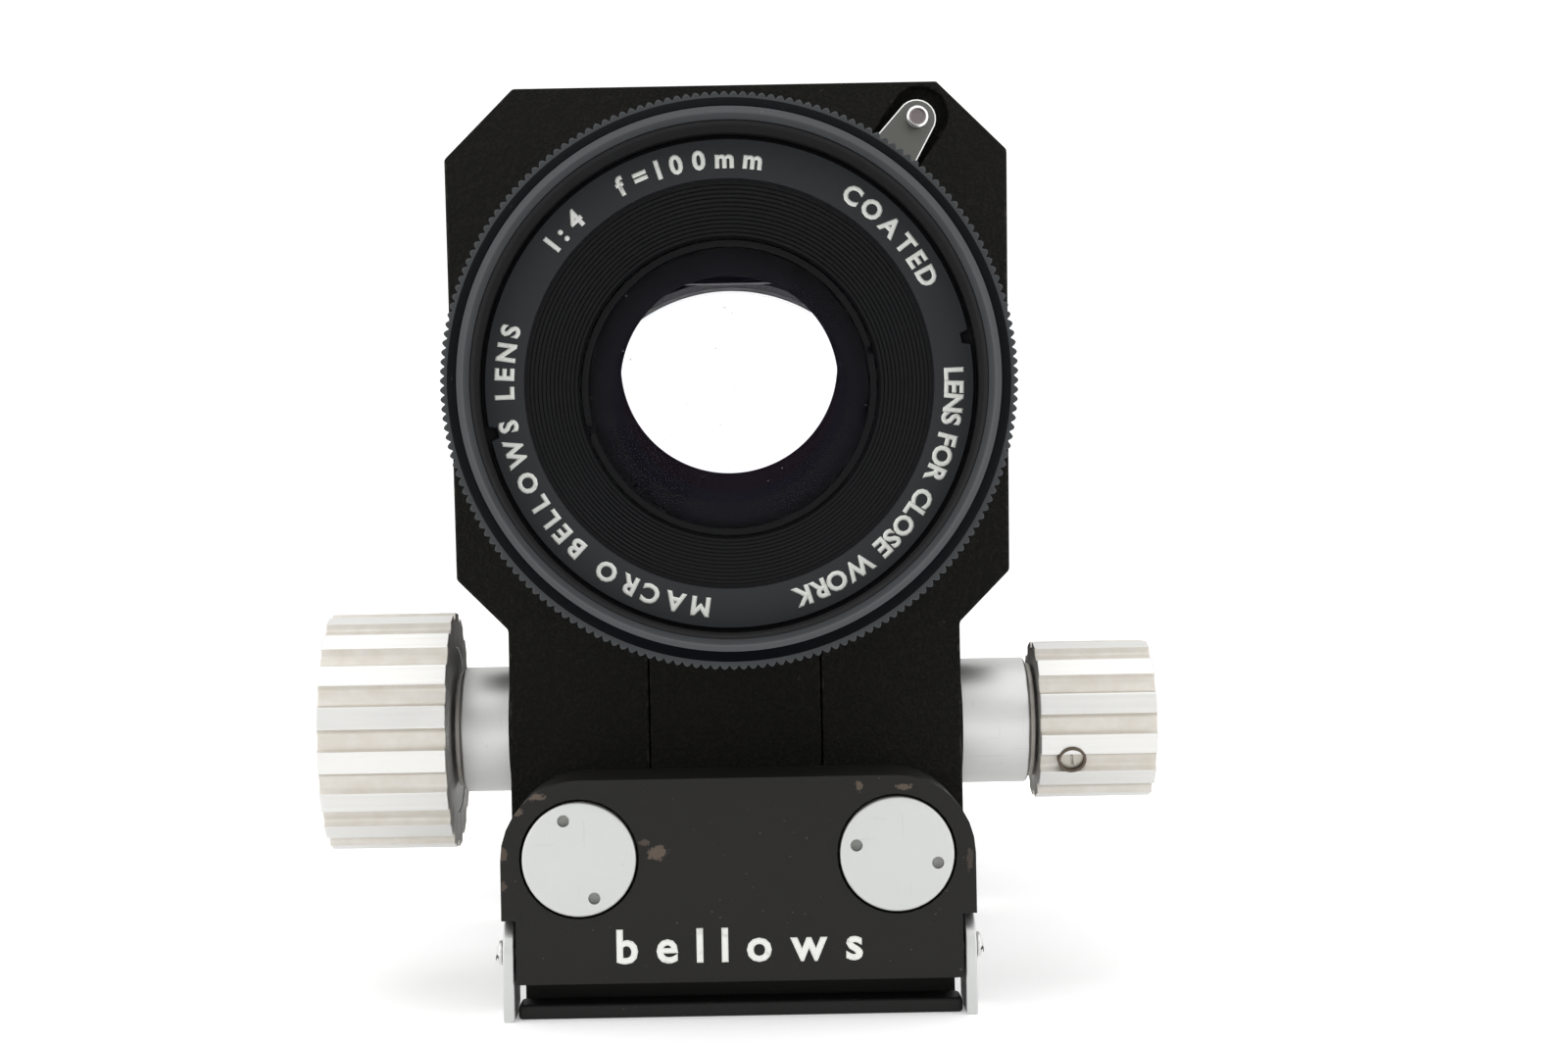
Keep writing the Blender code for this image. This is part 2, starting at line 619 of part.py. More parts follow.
def front_controls():
    """The drive shaft with its pinion and knob, and the lock spindle with its knob."""
    y, z = FRONT_AXIS_Y, KNOB_HEIGHT
    left_end = LEFT_KNOB_START + LEFT_KNOB_LENGTH - KNOB_SKIN - GAP
    shaft = cylinder("front_drive_shaft", (-left_end, y, z), (SHAFT_END, y, z), SHAFT_RADIUS, "steel")
    ride(shaft, "front_drive")
    loops = [gear(FRONT_TEETH, FRONT_PITCH_RADIUS, -math.pi / 2), circle(SHAFT_RADIUS + GAP, 24)]
    pinion = outline("front_pinion", loops, 2 * PINION_HALF_WIDTH, (0, y, z), FACING_RIGHT, "brass")
    ride(pinion, "front_drive")
    bore = SHAFT_RADIUS + GAP
    left = grooved_knob(
        "front_drive_knob", LEFT_KNOB_RADIUS, LEFT_KNOB_START, LEFT_KNOB_LENGTH,
        LEFT_KNOB_GROOVES, bore, -1, y, z,
    )
    ride(left, "front_drive")
    right_end = RIGHT_KNOB_START + RIGHT_KNOB_LENGTH - KNOB_SKIN - GAP
    spindle_start = (SHAFT_END + PAD_LENGTH + 2 * GAP, y, z)
    spindle_end = (right_end, y, z)
    spindle = cylinder("front_lock_spindle", spindle_start, spindle_end, SHAFT_RADIUS, "steel")
    ride(spindle, "front_lock")
    right = grooved_knob(
        "front_lock_knob", RIGHT_KNOB_RADIUS, RIGHT_KNOB_START, RIGHT_KNOB_LENGTH,
        RIGHT_KNOB_GROOVES, bore, 1, y, z,
    )
    way = Vector((0, -math.cos(SET_SCREW_ANGLE), -math.sin(SET_SCREW_ANGLE)))
    screw_base = Vector((RIGHT_KNOB_START + SET_SCREW_FROM_START, y, z))
    hole_end = screw_base + way * (RIGHT_KNOB_RADIUS + BEYOND)
    combine(right, cylinder("set_screw_hole", screw_base, hole_end, SET_SCREW_RADIUS + GAP, sides=16))
    ride(right, "front_lock")
    screw_start = screw_base + way * (SHAFT_RADIUS + GAP)
    screw_end = screw_base + way * (RIGHT_KNOB_RADIUS - 2 * GAP)
    screw = cylinder("lock_set_screw", screw_start, screw_end, SET_SCREW_RADIUS, "steel", 16)
    ride(screw, "front_lock")


def along_lever(distance, aside):
    """A point in the front plate's plane, at a distance from the lens axis along the lever."""
    across = Vector((-LEVER_DIRECTION.z, 0, LEVER_DIRECTION.x))
    point = LEVER_DIRECTION * distance + across * aside
    return (point.x, LENS_HEIGHT + point.z)


def tongue(name, start, centre, radius, foot_half, thick, front, finish="satin_black"):
    """A tongue along the lever's line: a straight foot, and a round end about a centre distance."""
    points = [along_lever(start, -foot_half)]
    for distance, aside in arc((centre, 0), radius, -math.pi / 2, math.pi / 2, 13):
        points.append(along_lever(distance, aside))
    points.append(along_lever(start, foot_half))
    return outline(name, [points], thick, (0, front + thick / 2, 0), FACING_FRONT, finish)


def lever_pocket():
    """The pocket in the front plate that the release lever slides in."""
    start = LEVER_START - 2 * GAP
    centre = LEVER_PIN_AT + LEVER_TRAVEL / 2
    radius = LEVER_END_RADIUS + POCKET_MARGIN
    foot = LEVER_FOOT_HALF + GAP
    depth = LEVER_THICK + GAP
    return tongue("lever_pocket", start, centre, radius, foot, depth + BEYOND, PLATE_FRONT - BEYOND)


def lens_release():
    """The lever that frees the lens, and its finger pin."""
    lever = tongue(
        "release_lever", LEVER_START, LEVER_PIN_AT, LEVER_END_RADIUS, LEVER_FOOT_HALF,
        LEVER_THICK, PLATE_FRONT, "steel",
    )
    x, z = along_lever(LEVER_PIN_AT, 0)
    front = PLATE_FRONT - LEVER_PIN_PROUD
    ride(lever, "lens_release")
    pin = cylinder("release_pin", (x, PLATE_FRONT - GAP, z), (x, front, z), LEVER_PIN_RADIUS, "steel", 20)
    ride(pin, "lens_release")


def lens():
    """The lens barrel with its rings, glasses, bayonet and iris."""
    centre = (0, FLANGE_FACE, LENS_HEIGHT)
    ring_top = LENS_LENGTH - RIM_LENGTH
    ring_low = ring_top - KNURL_LENGTH - 2 * GAP
    name_floor = LENS_LENGTH - NAME_SETBACK - NAME_THICK - GAP
    barrel_profile = [
        (RIM_RADIUS, LENS_LENGTH),
        (RIM_RADIUS, ring_top),
        (BARREL_WAIST, ring_top),
        (BARREL_WAIST, ring_low),
        (BARREL_REAR, ring_low),
        (BARREL_REAR, BARREL_FOOT[1]),
        (BARREL_FOOT[0], GAP),
        (REAR_BORE, GAP),
        (REAR_BORE, ELEMENT_BACK),
        (ELEMENT_RADIUS + GAP, ELEMENT_BACK),
        (ELEMENT_RADIUS + GAP, ELEMENT_FRONT),
        (CONE_BORE, ELEMENT_FRONT),
        (CONE_BORE, name_floor),
        (FILTER_RADIUS, name_floor),
        (FILTER_RADIUS, LENS_LENGTH),
    ]
    ride(turned("lens_barrel", barrel_profile, centre, FACING_FRONT, "lens_black", 48), "lens")
    knurl = ring(
        "aperture_ring", KNURL_RADIUS, BARREL_WAIST + RUN, ring_low + GAP, ring_top - GAP,
        centre, FACING_FRONT, "lens_black", 48,
    )
    ride(knurl, "aperture")
    name_low = name_floor + GAP
    name = ring(
        "name_ring", FILTER_RADIUS - GAP, NAME_INNER, name_low, name_low + NAME_THICK,
        centre, FACING_FRONT, "name_blue", 48,
    )
    ride(name, "lens")
    cone_low = ELEMENT_FRONT + GAP
    cone_top = name_floor - GAP
    cone_outer = CONE_BORE - GAP
    cone_profile = [
        (cone_outer, cone_top),
        (cone_outer, cone_top - CONE_RIM),
        (ELEMENT_RADIUS + CONE_RIM, cone_low),
        (ELEMENT_RADIUS - GAP, cone_low),
        (NAME_INNER, cone_top),
    ]
    ride(turned("front_baffle", cone_profile, centre, FACING_FRONT, "satin_black", 48), "lens")
    front_glass = lens_shape(ELEMENT_RADIUS, ELEMENT_BACK + GAP, ELEMENT_FRONT - GAP, *ELEMENT_BULGE)
    ride(turned("front_element", front_glass, centre, FACING_FRONT, "glass", 32, False), "lens")
    ride(bayonet(centre), "lens")
    rear_glass = lens_shape(BAYONET_BORE - GAP, *REAR_GLASS, *REAR_GLASS_BULGE)
    ride(turned("rear_element", rear_glass, centre, FACING_FRONT, "glass", 32, False), "lens")
    plate_low = IRIS_BACK + BLADE_COUNT * IRIS_PITCH + GAP
    iris_plate = ring(
        "iris_plate", REAR_BORE - GAP, BLADE_INNER - GAP, plate_low, plate_low + IRIS_PLATE_THICK,
        centre, FACING_FRONT, "satin_black", 48,
    )
    ride(iris_plate, "lens")
    for i in range(BLADE_COUNT):
        iris_blade(i)


def bayonet(centre):
    """The lens's rear tube, which the front standard's ring holds."""
    return ring(
        "lens_bayonet", BAYONET_RADIUS, BAYONET_BORE, -BAYONET_LENGTH, 0,
        centre, FACING_FRONT, "silver", 48,
    )


def iris_blade(index):
    """One curved iris leaf, pinned near one end."""
    start = math.tau * index / BLADE_COUNT
    middle = (BLADE_INNER + BLADE_OUTER) / 2
    half = (BLADE_OUTER - BLADE_INNER) / 2
    end = start + BLADE_ARC
    points = arc((0, 0), BLADE_OUTER, start, end, 12)
    tip = (middle * math.cos(end), middle * math.sin(end))
    points += arc(tip, half, end, end + math.pi, 7)[1:-1]
    points += arc((0, 0), BLADE_INNER, end, start, 12)
    tail = (middle * math.cos(start), middle * math.sin(start))
    points += arc(tail, half, start + math.pi, start + math.tau, 7)[1:-1]
    points = [(x, LENS_HEIGHT + z) for x, z in points]
    height = IRIS_BACK + index * IRIS_PITCH + BLADE_THICK / 2
    centre = (0, FLANGE_FACE - height, 0)
    name = f"iris_blade_{index + 1}"
    blade = outline(name, [points], BLADE_THICK, centre, FACING_FRONT, "satin_black")
    ride(blade, name)


def rear_standard():
    """The rear standard, its lock and the turning camera mount."""
    frame = standard_frame("rear_standard_frame", 1)
    y = -FRONT_AXIS_Y
    z = KNOB_HEIGHT
    start = NECK_HALF + GAP
    bore_start = (RACK_HALF_WIDTH, y, z)
    bore_end = (NECK_HALF + BEYOND, y, z)
    combine(frame, cylinder("rear_lock_bore", bore_start, bore_end, SHAFT_RADIUS + RUN))
    face = -PLATE_FRONT
    lock_x, lock_up = ROTATION_LOCK_AT
    lock_z = LENS_HEIGHT + lock_up
    hole_low = (lock_x, face - ROTATION_SHANK[1] - BEYOND, lock_z)
    hole_high = (lock_x, face + BEYOND, lock_z)
    hole_radius = ROTATION_SHANK[0] + GAP
    combine(frame, cylinder("rotation_lock_hole", hole_low, hole_high, hole_radius))
    ride(frame, "rear_standard")
    ride(bellows_frame("rear_bellows_frame", 1), "rear_standard")
    pad_end = RACK_HALF_WIDTH + GAP + PAD_LENGTH
    pad = cylinder(
        "rear_lock_pad", (RACK_HALF_WIDTH + GAP, y, z), (pad_end, y, z), SHAFT_RADIUS, "brass", 16
    )
    ride(pad, "rear_standard")
    knob_end = start + SMALL_KNOB_LENGTH - KNOB_SKIN - GAP
    spindle = cylinder("rear_lock_spindle", (pad_end + GAP, y, z), (knob_end, y, z), SHAFT_RADIUS, "steel")
    ride(spindle, "rear_lock")
    knob = grooved_knob(
        "rear_lock_knob", SMALL_KNOB_RADIUS, start, SMALL_KNOB_LENGTH, SMALL_KNOB_GROOVES,
        SHAFT_RADIUS + GAP, 1, y, z,
    )
    ride(knob, "rear_lock")
    mount = turned(
        "camera_mount_ring",
        [
            (CAMERA_RING_RADIUS - CAMERA_RING_EDGE, CAMERA_RING_THICK),
            (CAMERA_RING_RADIUS, CAMERA_RING_THICK - CAMERA_RING_EDGE),
            (CAMERA_RING_RADIUS, 0),
            (CAMERA_RING_BORE, 0),
            (CAMERA_RING_BORE, CAMERA_RING_THICK),
        ],
        (0, face + GAP, LENS_HEIGHT), FACING_BACK, "silver",
    )
    ride(mount, "camera_mount")
    head_radius, head = ROTATION_HEAD
    shank, depth = ROTATION_SHANK
    screw = turned(
        "rotation_lock_screw",
        [(0, head), (head_radius, head), (head_radius, 0), (shank, 0), (shank, -depth), (0, -depth)],
        (lock_x, face + GAP, lock_z), FACING_BACK, "silver", 20, False,
    )
    ride(screw, "rotation_lock")


def bellows():
    """The folding light-proof tube between the standards, plain here."""
    square = [(-1, -1), (1, -1), (1, 1), (-1, 1)]
    inner = BELLOWS_HALF - BELLOWS_WALL
    loops = [[(half * x, LENS_HEIGHT + half * z) for x, z in square] for half in (BELLOWS_HALF, inner)]
    frame_face = -PLATE_FRONT - PLATE_THICK - GAP - FRAME_THICK
    length = 2 * (frame_face - GAP)
    ride(outline("bellows", loops, length, (0, 0, 0), FACING_FRONT, "cloth_black"), "rail")


def tripod_block():
    """The block that the unit stands on, with its own rack drive and lock."""
    low = (-BLOCK_HALF_WIDTH, -BLOCK_HALF_LENGTH, 0)
    base = block("tripod_block", low, (BLOCK_HALF_WIDTH, BLOCK_HALF_LENGTH, BLOCK_TOP), "crinkle_black")
    for side in (-1, 1):
        x = side * ROD_SPREAD
        start = (x, -RAIL_END, ROD_HEIGHT)
        groove = cylinder(f"block_groove_{side}", start, (x, RAIL_END, ROD_HEIGHT), ROD_RADIUS + RUN)
        combine(base, groove)
    wide = RACK_HALF_WIDTH + BAR_RUN
    slot_low = (-wide, -RAIL_END, LOWER_PITCH_LINE - TOOTH_OUT - 2 * GAP)
    slot_top = LOWER_ROOT + FLANGE_THICK + GAP
    combine(base, block("block_slot", slot_low, (wide, RAIL_END, slot_top)))
    narrow = WEB_HALF_WIDTH + BAR_RUN
    throat_high = (narrow, RAIL_END, BLOCK_TOP + BEYOND)
    combine(base, block("block_throat", (-narrow, -RAIL_END, slot_top - BEYOND), throat_high))
    z = TRIPOD_AXIS_HEIGHT
    tip = TRIPOD_PITCH_RADIUS + TOOTH_OUT + GAP
    well_low = (-PINION_HALF_WIDTH - GAP, -tip, z - tip)
    combine(base, block("block_well", well_low, (PINION_HALF_WIDTH + GAP, tip, LOWER_PITCH_LINE)))
    bore = TRIPOD_SHAFT_RADIUS + RUN
    beyond = BLOCK_HALF_WIDTH + BEYOND
    combine(base, cylinder("block_bore", (-beyond, 0, z), (beyond, 0, z), bore, sides=16))
    for label, side, (radius, outer) in (("small", -1, SMALL_SOCKET), ("large", 1, LARGE_SOCKET)):
        y = side * SOCKET_OFFSET
        hole_top = (0, y, SOCKET_DEPTH + GAP)
        combine(base, cylinder(f"socket_hole_{label}", (0, y, -BEYOND), hole_top, outer + GAP))
        foot = (0, y, 0)
        bush = ring(f"tripod_socket_{label}", outer, radius, 0, SOCKET_DEPTH, foot, FACING_UP, "steel", 24)
        ride(bush, "tripod_block")
    ride(base, "tripod_block")
    start = BLOCK_HALF_WIDTH + GAP
    end = start + TRIPOD_KNOB_LENGTH - KNOB_SKIN - GAP
    radius = TRIPOD_SHAFT_RADIUS
    middle = PINION_HALF_WIDTH + TRIPOD_SHAFT_OVER
    ride(cylinder("tripod_drive_shaft", (-end, 0, z), (middle, 0, z), radius, "steel", 16), "tripod_drive")
    loops = [gear(TRIPOD_TEETH, TRIPOD_PITCH_RADIUS, math.pi / 2), circle(radius + GAP, 16)]
    pinion = outline("tripod_pinion", loops, 2 * PINION_HALF_WIDTH, (0, 0, z), FACING_RIGHT, "brass")
    ride(pinion, "tripod_drive")
    spindle_start = (middle + GAP, 0, z)
    ride(cylinder("tripod_lock_spindle", spindle_start, (end, 0, z), radius, "steel", 16), "tripod_lock")
    for side, label in ((-1, "drive"), (1, "lock")):
        knob = grooved_knob(
            f"tripod_{label}_knob", TRIPOD_KNOB_RADIUS, start, TRIPOD_KNOB_LENGTH,
            TRIPOD_KNOB_GROOVES, radius + GAP, side, 0, z,
        )
        ride(knob, f"tripod_{label}")


def bracket():
    """The fold-down bracket that swings on two shoulder screws in the front end plate."""
    y, z = BRACKET_PIVOT_Y, BRACKET_PIVOT_HEIGHT
    radius = BRACKET_ARM_RADIUS
    points = [(y - radius, 0), (y + radius, 0)] + arc((y, z), radius, 0, math.pi, 12)
    hole = circle(BRACKET_SCREW_RADIUS + GAP, 16, (y, z))
    plate = bpy.data.objects["front_end_plate"]
    for side, label in ((-1, "left"), (1, "right")):
        centre = (side * (BRACKET_OUTER - BRACKET_THICK / 2), 0, 0)
        arm = outline(f"bracket_arm_{label}", [points, hole], BRACKET_THICK, centre, FACING_RIGHT, "silver")
        ride(arm, "bracket")
        facing = FACING_LEFT if side < 0 else FACING_RIGHT
        head_base = BRACKET_OUTER + GAP
        depth = BRACKET_SCREW_DEPTH
        head = BRACKET_HEAD_RADIUS
        shank = BRACKET_SCREW_RADIUS
        profile = [
            (0, BRACKET_HEAD_THICK), (head, BRACKET_HEAD_THICK), (head, 0), (shank, 0),
            (shank, -depth), (0, -depth),
        ]
        origin = (side * head_base, y, z)
        screw = turned(f"bracket_screw_{label}", profile, origin, facing, "steel", 16, False)
        ride(screw, "rail")
        hole_start = (side * (head_base - depth - GAP), y, z)
        hole_end = (side * (NOTCH_HALF + BEYOND), y, z)
        bore = cylinder(f"bracket_bore_{label}", hole_start, hole_end, shank + GAP, sides=16)
        combine(plate, bore, solver="MANIFOLD")
    half = NOTCH_HALF
    low = (-half, y - BRACKET_PLATE_HALF, 0)
    high = (half, y + BRACKET_PLATE_HALF, BRACKET_PLATE_THICK)
    ride(block("bracket_plate", low, high, "satin_black"), "bracket")


def blade_pivot(index):
    """Where an iris blade turns."""
    angle = math.tau * index / BLADE_COUNT
    reach = (BLADE_INNER + BLADE_OUTER) / 2
    height = LENS_HEIGHT + reach * math.sin(angle)
    return (reach * math.cos(angle), FLANGE_FACE - IRIS_BACK, height)


BODY_ORIGINS = {
    "rail": (0, 0, 0),
    "front_standard": (0, FRONT_AXIS_Y, ROD_HEIGHT),
    "front_drive": (0, FRONT_AXIS_Y, KNOB_HEIGHT),
    "front_lock": (0, FRONT_AXIS_Y, KNOB_HEIGHT),
    "lens_release": (0, PLATE_FRONT, LENS_HEIGHT),
    "lens": (0, FLANGE_FACE, LENS_HEIGHT),
    "aperture": (0, FLANGE_FACE, LENS_HEIGHT),
    "rear_standard": (0, -FRONT_AXIS_Y, ROD_HEIGHT),
    "rear_lock": (0, -FRONT_AXIS_Y, KNOB_HEIGHT),
    "camera_mount": (0, -PLATE_FRONT, LENS_HEIGHT),
    "rotation_lock": (ROTATION_LOCK_AT[0], -PLATE_FRONT, LENS_HEIGHT + ROTATION_LOCK_AT[1]),
    "tripod_block": (0, 0, 0),
    "tripod_drive": (0, 0, TRIPOD_AXIS_HEIGHT),
    "tripod_lock": (0, 0, TRIPOD_AXIS_HEIGHT),
    "bracket": (0, BRACKET_PIVOT_Y, BRACKET_PIVOT_HEIGHT),
}
for blade in range(BLADE_COUNT):
    BODY_ORIGINS[f"iris_blade_{blade + 1}"] = blade_pivot(blade)


def ride(item, body):
    """Parents a part to the empty that stands on its body's joint axis."""
    name = f"axis_{body}"
    anchor = bpy.data.objects.get(name)
    if anchor is None:
        anchor = bpy.data.objects.new(name, None)
        anchor.location = BODY_ORIGINS[body]
        anchor.empty_display_size = 0.01
        PARTS.objects.link(anchor)
        bpy.context.view_layer.update()
    item.parent = anchor
    item.matrix_parent_inverse = anchor.matrix_world.inverted()


clear_scene()
PARTS = make_collection("macro_bellows_unit")
CUTTERS = make_collection("cutters")
rail()
front_standard()
front_controls()
lens_release()
lens()
rear_standard()
bellows()
tripod_block()
bracket()
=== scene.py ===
"""The looks of a macro bellows unit with a short-mount lens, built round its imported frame.

Everything is in metres in the frame's own axes: +Z up, the lens looks along -Y, +X to the right of
someone who faces the lens.
"""
import json
import logging
import math
from collections.abc import Callable
from dataclasses import dataclass
from enum import Enum

import bmesh
import bpy
from mathutils import Matrix, Vector


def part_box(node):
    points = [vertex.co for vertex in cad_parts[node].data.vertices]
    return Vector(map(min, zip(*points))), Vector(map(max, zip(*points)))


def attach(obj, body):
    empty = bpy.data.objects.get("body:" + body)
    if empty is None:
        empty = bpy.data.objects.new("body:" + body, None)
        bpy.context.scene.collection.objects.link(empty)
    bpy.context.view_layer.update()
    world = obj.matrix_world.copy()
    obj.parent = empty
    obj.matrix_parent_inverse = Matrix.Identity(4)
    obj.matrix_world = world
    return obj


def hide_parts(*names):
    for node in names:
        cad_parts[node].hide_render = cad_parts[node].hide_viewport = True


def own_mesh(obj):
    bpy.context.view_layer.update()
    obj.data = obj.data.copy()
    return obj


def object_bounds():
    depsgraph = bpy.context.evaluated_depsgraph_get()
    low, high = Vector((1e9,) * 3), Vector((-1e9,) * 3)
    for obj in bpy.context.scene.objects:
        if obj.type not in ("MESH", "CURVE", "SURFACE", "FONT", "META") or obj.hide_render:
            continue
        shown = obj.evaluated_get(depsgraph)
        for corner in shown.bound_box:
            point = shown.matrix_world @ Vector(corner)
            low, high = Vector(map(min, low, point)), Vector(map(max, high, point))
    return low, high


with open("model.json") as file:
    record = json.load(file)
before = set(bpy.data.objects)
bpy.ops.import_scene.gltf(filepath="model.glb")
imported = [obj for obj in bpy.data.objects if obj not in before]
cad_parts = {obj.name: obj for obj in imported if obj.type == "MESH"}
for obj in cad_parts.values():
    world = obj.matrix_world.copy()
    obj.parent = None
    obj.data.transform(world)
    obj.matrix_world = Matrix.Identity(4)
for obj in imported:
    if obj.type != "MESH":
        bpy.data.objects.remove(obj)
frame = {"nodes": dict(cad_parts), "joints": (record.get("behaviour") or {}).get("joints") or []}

CAD_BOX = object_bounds()
LOG = logging.getLogger("bellows_unit")

FRONT = Vector((0, -1, 0))
BACK = Vector((0, 1, 0))
UP = Vector((0, 0, 1))
RIGHT = Vector((1, 0, 0))
LEFTWARD = Vector((-1, 0, 0))
MM = 0.001
MERGE = 1e-7
LETTER_DEPTH = 0.00002
SHARP = math.radians(32)


# ---------------------------------------------------------------- shader graph


class Wire:
    """A shader socket whose arithmetic adds Math nodes to its graph."""

    def __init__(self, graph: "Graph", socket: bpy.types.NodeSocket) -> None:
        """Wraps one output socket of a graph."""
        self.graph = graph
        self.socket = socket

    def _maths(self, operation: str, first: object, second: object) -> "Wire":
        """Adds one Math node and returns its result."""
        return self.graph.add("Math", {"operation": operation}, {0: first, 1: second})

    def __add__(self, other: "Wire | float") -> "Wire":
        """self + other."""
        return self._maths("ADD", self, other)

    def __radd__(self, other: float) -> "Wire":
        """other + self."""
        return self._maths("ADD", other, self)

    def __sub__(self, other: "Wire | float") -> "Wire":
        """self - other."""
        return self._maths("SUBTRACT", self, other)

    def __rsub__(self, other: float) -> "Wire":
        """other - self."""
        return self._maths("SUBTRACT", other, self)

    def __mul__(self, other: "Wire | float") -> "Wire":
        """self * other."""
        return self._maths("MULTIPLY", self, other)

    def __rmul__(self, other: float) -> "Wire":
        """other * self."""
        return self._maths("MULTIPLY", other, self)

    def at_least(self, other: "Wire | float") -> "Wire":
        """The larger of the two."""
        return self._maths("MAXIMUM", self, other)


class Graph:
    """One material's node tree."""

    def __init__(self, name: str) -> None:
        """Starts an empty material of that name.

        Args:
            name: the material's name.
        """
        self.material = bpy.data.materials.new(name)
        self.material.use_nodes = True
        self.tree = self.material.node_tree
        self.tree.nodes.clear()

    def add(self, kind: str, settings: dict, inputs: dict, output: int | str = 0) -> Wire:
        """Adds a node, sets it up and feeds it.

        Args:
            kind: the node's type, without its ShaderNode prefix.
            settings: the node's own properties, set before its sockets.
            inputs: a value or a Wire for each socket, by index or name.
            output: which output to return.

        Returns:
            The chosen output as a Wire.
        """
        node = self.tree.nodes.new(f"ShaderNode{kind}")
        for key, value in settings.items():
            setattr(node, key, value)
        for key, value in inputs.items():
            if isinstance(value, Wire):
                self.tree.links.new(value.socket, node.inputs[key])
            else:
                node.inputs[key].default_value = value
        return Wire(self, node.outputs[output])

    def coords(self, centre: Vector = Vector(), stretch: tuple = (1, 1, 1)) -> Wire:
        """Object coordinates measured from a centre, each axis stretched.

        Args:
            centre: where the coordinates are zero.
            stretch: the factor of each axis.

        Returns:
            The vector as a Wire.
        """
        place = self.add("TexCoord", {}, {}, "Object")
        away = self.add("VectorMath", {"operation": "SUBTRACT"}, {0: place, 1: centre})
        return self.add("VectorMath", {"operation": "MULTIPLY"}, {0: away, 1: stretch})

    def noise(self, where: Wire, scale: float, detail: float = 3.0, rough: float = 0.55) -> Wire:
        """A noise from 0 to 1 at a scale in cells per metre."""
        inputs = {"Vector": where, "Scale": scale, "Detail": detail, "Roughness": rough}
        return self.add("TexNoise", {}, inputs, "Fac")

    def length(self, where: Wire) -> Wire:
        """The length of a vector."""
        return self.add("VectorMath", {"operation": "LENGTH"}, {0: where}, "Value")

    def lines(self, along: Wire, scale: float) -> Wire:
        """A noise that only varies along one number."""
        settings = {"noise_dimensions": "1D"}
        return self.add("TexNoise", settings, {"W": along, "Scale": scale, "Detail": 2.0}, "Fac")

    def step(self, value: Wire, low: float, high: float) -> Wire:
        """A smooth 0 to 1 step between two values, or 1 to 0 where low is above high.

        Args:
            value: what is compared.
            low: where the step is 0.
            high: where the step is 1.

        Returns:
            The step as a Wire.
        """
        rising = low < high
        inputs = {"Value": value, "From Min": min(low, high), "From Max": max(low, high)}
        inputs.update({"To Min": 0.0 if rising else 1.0, "To Max": 1.0 if rising else 0.0})
        return self.add("MapRange", {"interpolation_type": "SMOOTHSTEP"}, inputs)

    def mark(self, name: str) -> Wire:
        """A number that the mesh stores on its faces."""
        return self.add("Attribute", {"attribute_name": name}, {}, "Fac")

    def tint(self, factor: Wire, low: tuple | Wire, high: tuple | Wire) -> Wire:
        """A colour between two, by a factor.

        Args:
            factor: 0 for the first colour and 1 for the second.
            low: the first colour.
            high: the second colour.

        Returns:
            The colour as a Wire.
        """
        colours = [value if isinstance(value, Wire) else (*value, 1.0) for value in (low, high)]
        inputs = {0: factor, 6: colours[0], 7: colours[1]}
        return self.add("Mix", {"data_type": "RGBA"}, inputs, 2)

    def bump(self, height: Wire, depth: float, strength: float = 1.0) -> Wire:
        """A normal from a height of the given depth in metres."""
        return self.add("Bump", {}, {"Height": height, "Distance": depth, "Strength": strength})

    def surface(self, **inputs: object) -> bpy.types.Material:
        """Closes the graph with a Principled shader.

        Args:
            inputs: values or Wires by socket name, with _ for a space.

        Returns:
            The finished material.
        """
        sockets = {key.replace("_", " "): value for key, value in inputs.items()}
        for key in ("Base Color", "Sheen Tint", "Coat Tint", "Specular Tint"):
            if isinstance(sockets.get(key), tuple):
                sockets[key] = (*sockets[key], 1.0)
        shader = self.add("BsdfPrincipled", {}, sockets)
        self.add_output(shader)
        return self.material

    def add_output(self, shader: Wire) -> None:
        """Links a shader to the material's output."""
        node = self.tree.nodes.new("ShaderNodeOutputMaterial")
        self.tree.links.new(shader.socket, node.inputs["Surface"])


# -------------------------------------------------------------------- finishes


class Lay(Enum):
    """The way the tool marks run on machined metal."""

    ROUND_X = (0.0, 1.0, 1.0)
    ROUND_Y = (1.0, 0.0, 1.0)
    ROUND_Z = (1.0, 1.0, 0.0)
    ALONG_X = (0.04, 1.0, 1.0)
    ALONG_Y = (1.0, 0.04, 1.0)
    SCRATCHED = (1.0, 1.0, 1.0)

    @property
    def turned(self) -> bool:
        """Whether the marks are rings about an axis."""
        return 0.0 in self.value


@dataclass(frozen=True)
class CrinklePaint:
    """Fine-grained baked crinkle paint, a warm black."""

    colour: tuple = (0.0098, 0.0092, 0.0076)
    worn: tuple = (0.05, 0.045, 0.038)
    grain: float = 2600.0

    def make(self, name: str) -> bpy.types.Material:
        """The paint as a material.

        Args:
            name: the material's name.

        Returns:
            The material.
        """
        graph = Graph(name)
        here = graph.coords()
        grain = graph.noise(here, self.grain, 4.0, 0.62)
        ridges = graph.step(grain, 0.36, 0.66)
        cloud = graph.noise(here, 60.0, 2.0)
        shade = graph.tint(ridges * 0.65 + cloud * 0.35, tuple(0.22 * c for c in self.colour), self.colour)
        dust = graph.step(graph.noise(here, 1400.0, 1.0), 0.76, 0.82)
        lightened_edges = graph.mark("edge") * graph.step(graph.noise(here, 900.0, 3.0), 0.5, 0.7)
        colour = graph.tint(lightened_edges * 0.45 + dust * 0.35, shade, self.worn)
        rough = 0.6 + grain * 0.2 - lightened_edges * 0.15
        normal = graph.bump(ridges + cloud * 0.3, 0.00014, 0.9)
        return graph.surface(Base_Color=colour, Roughness=rough, Normal=normal, Specular_IOR_Level=0.13)


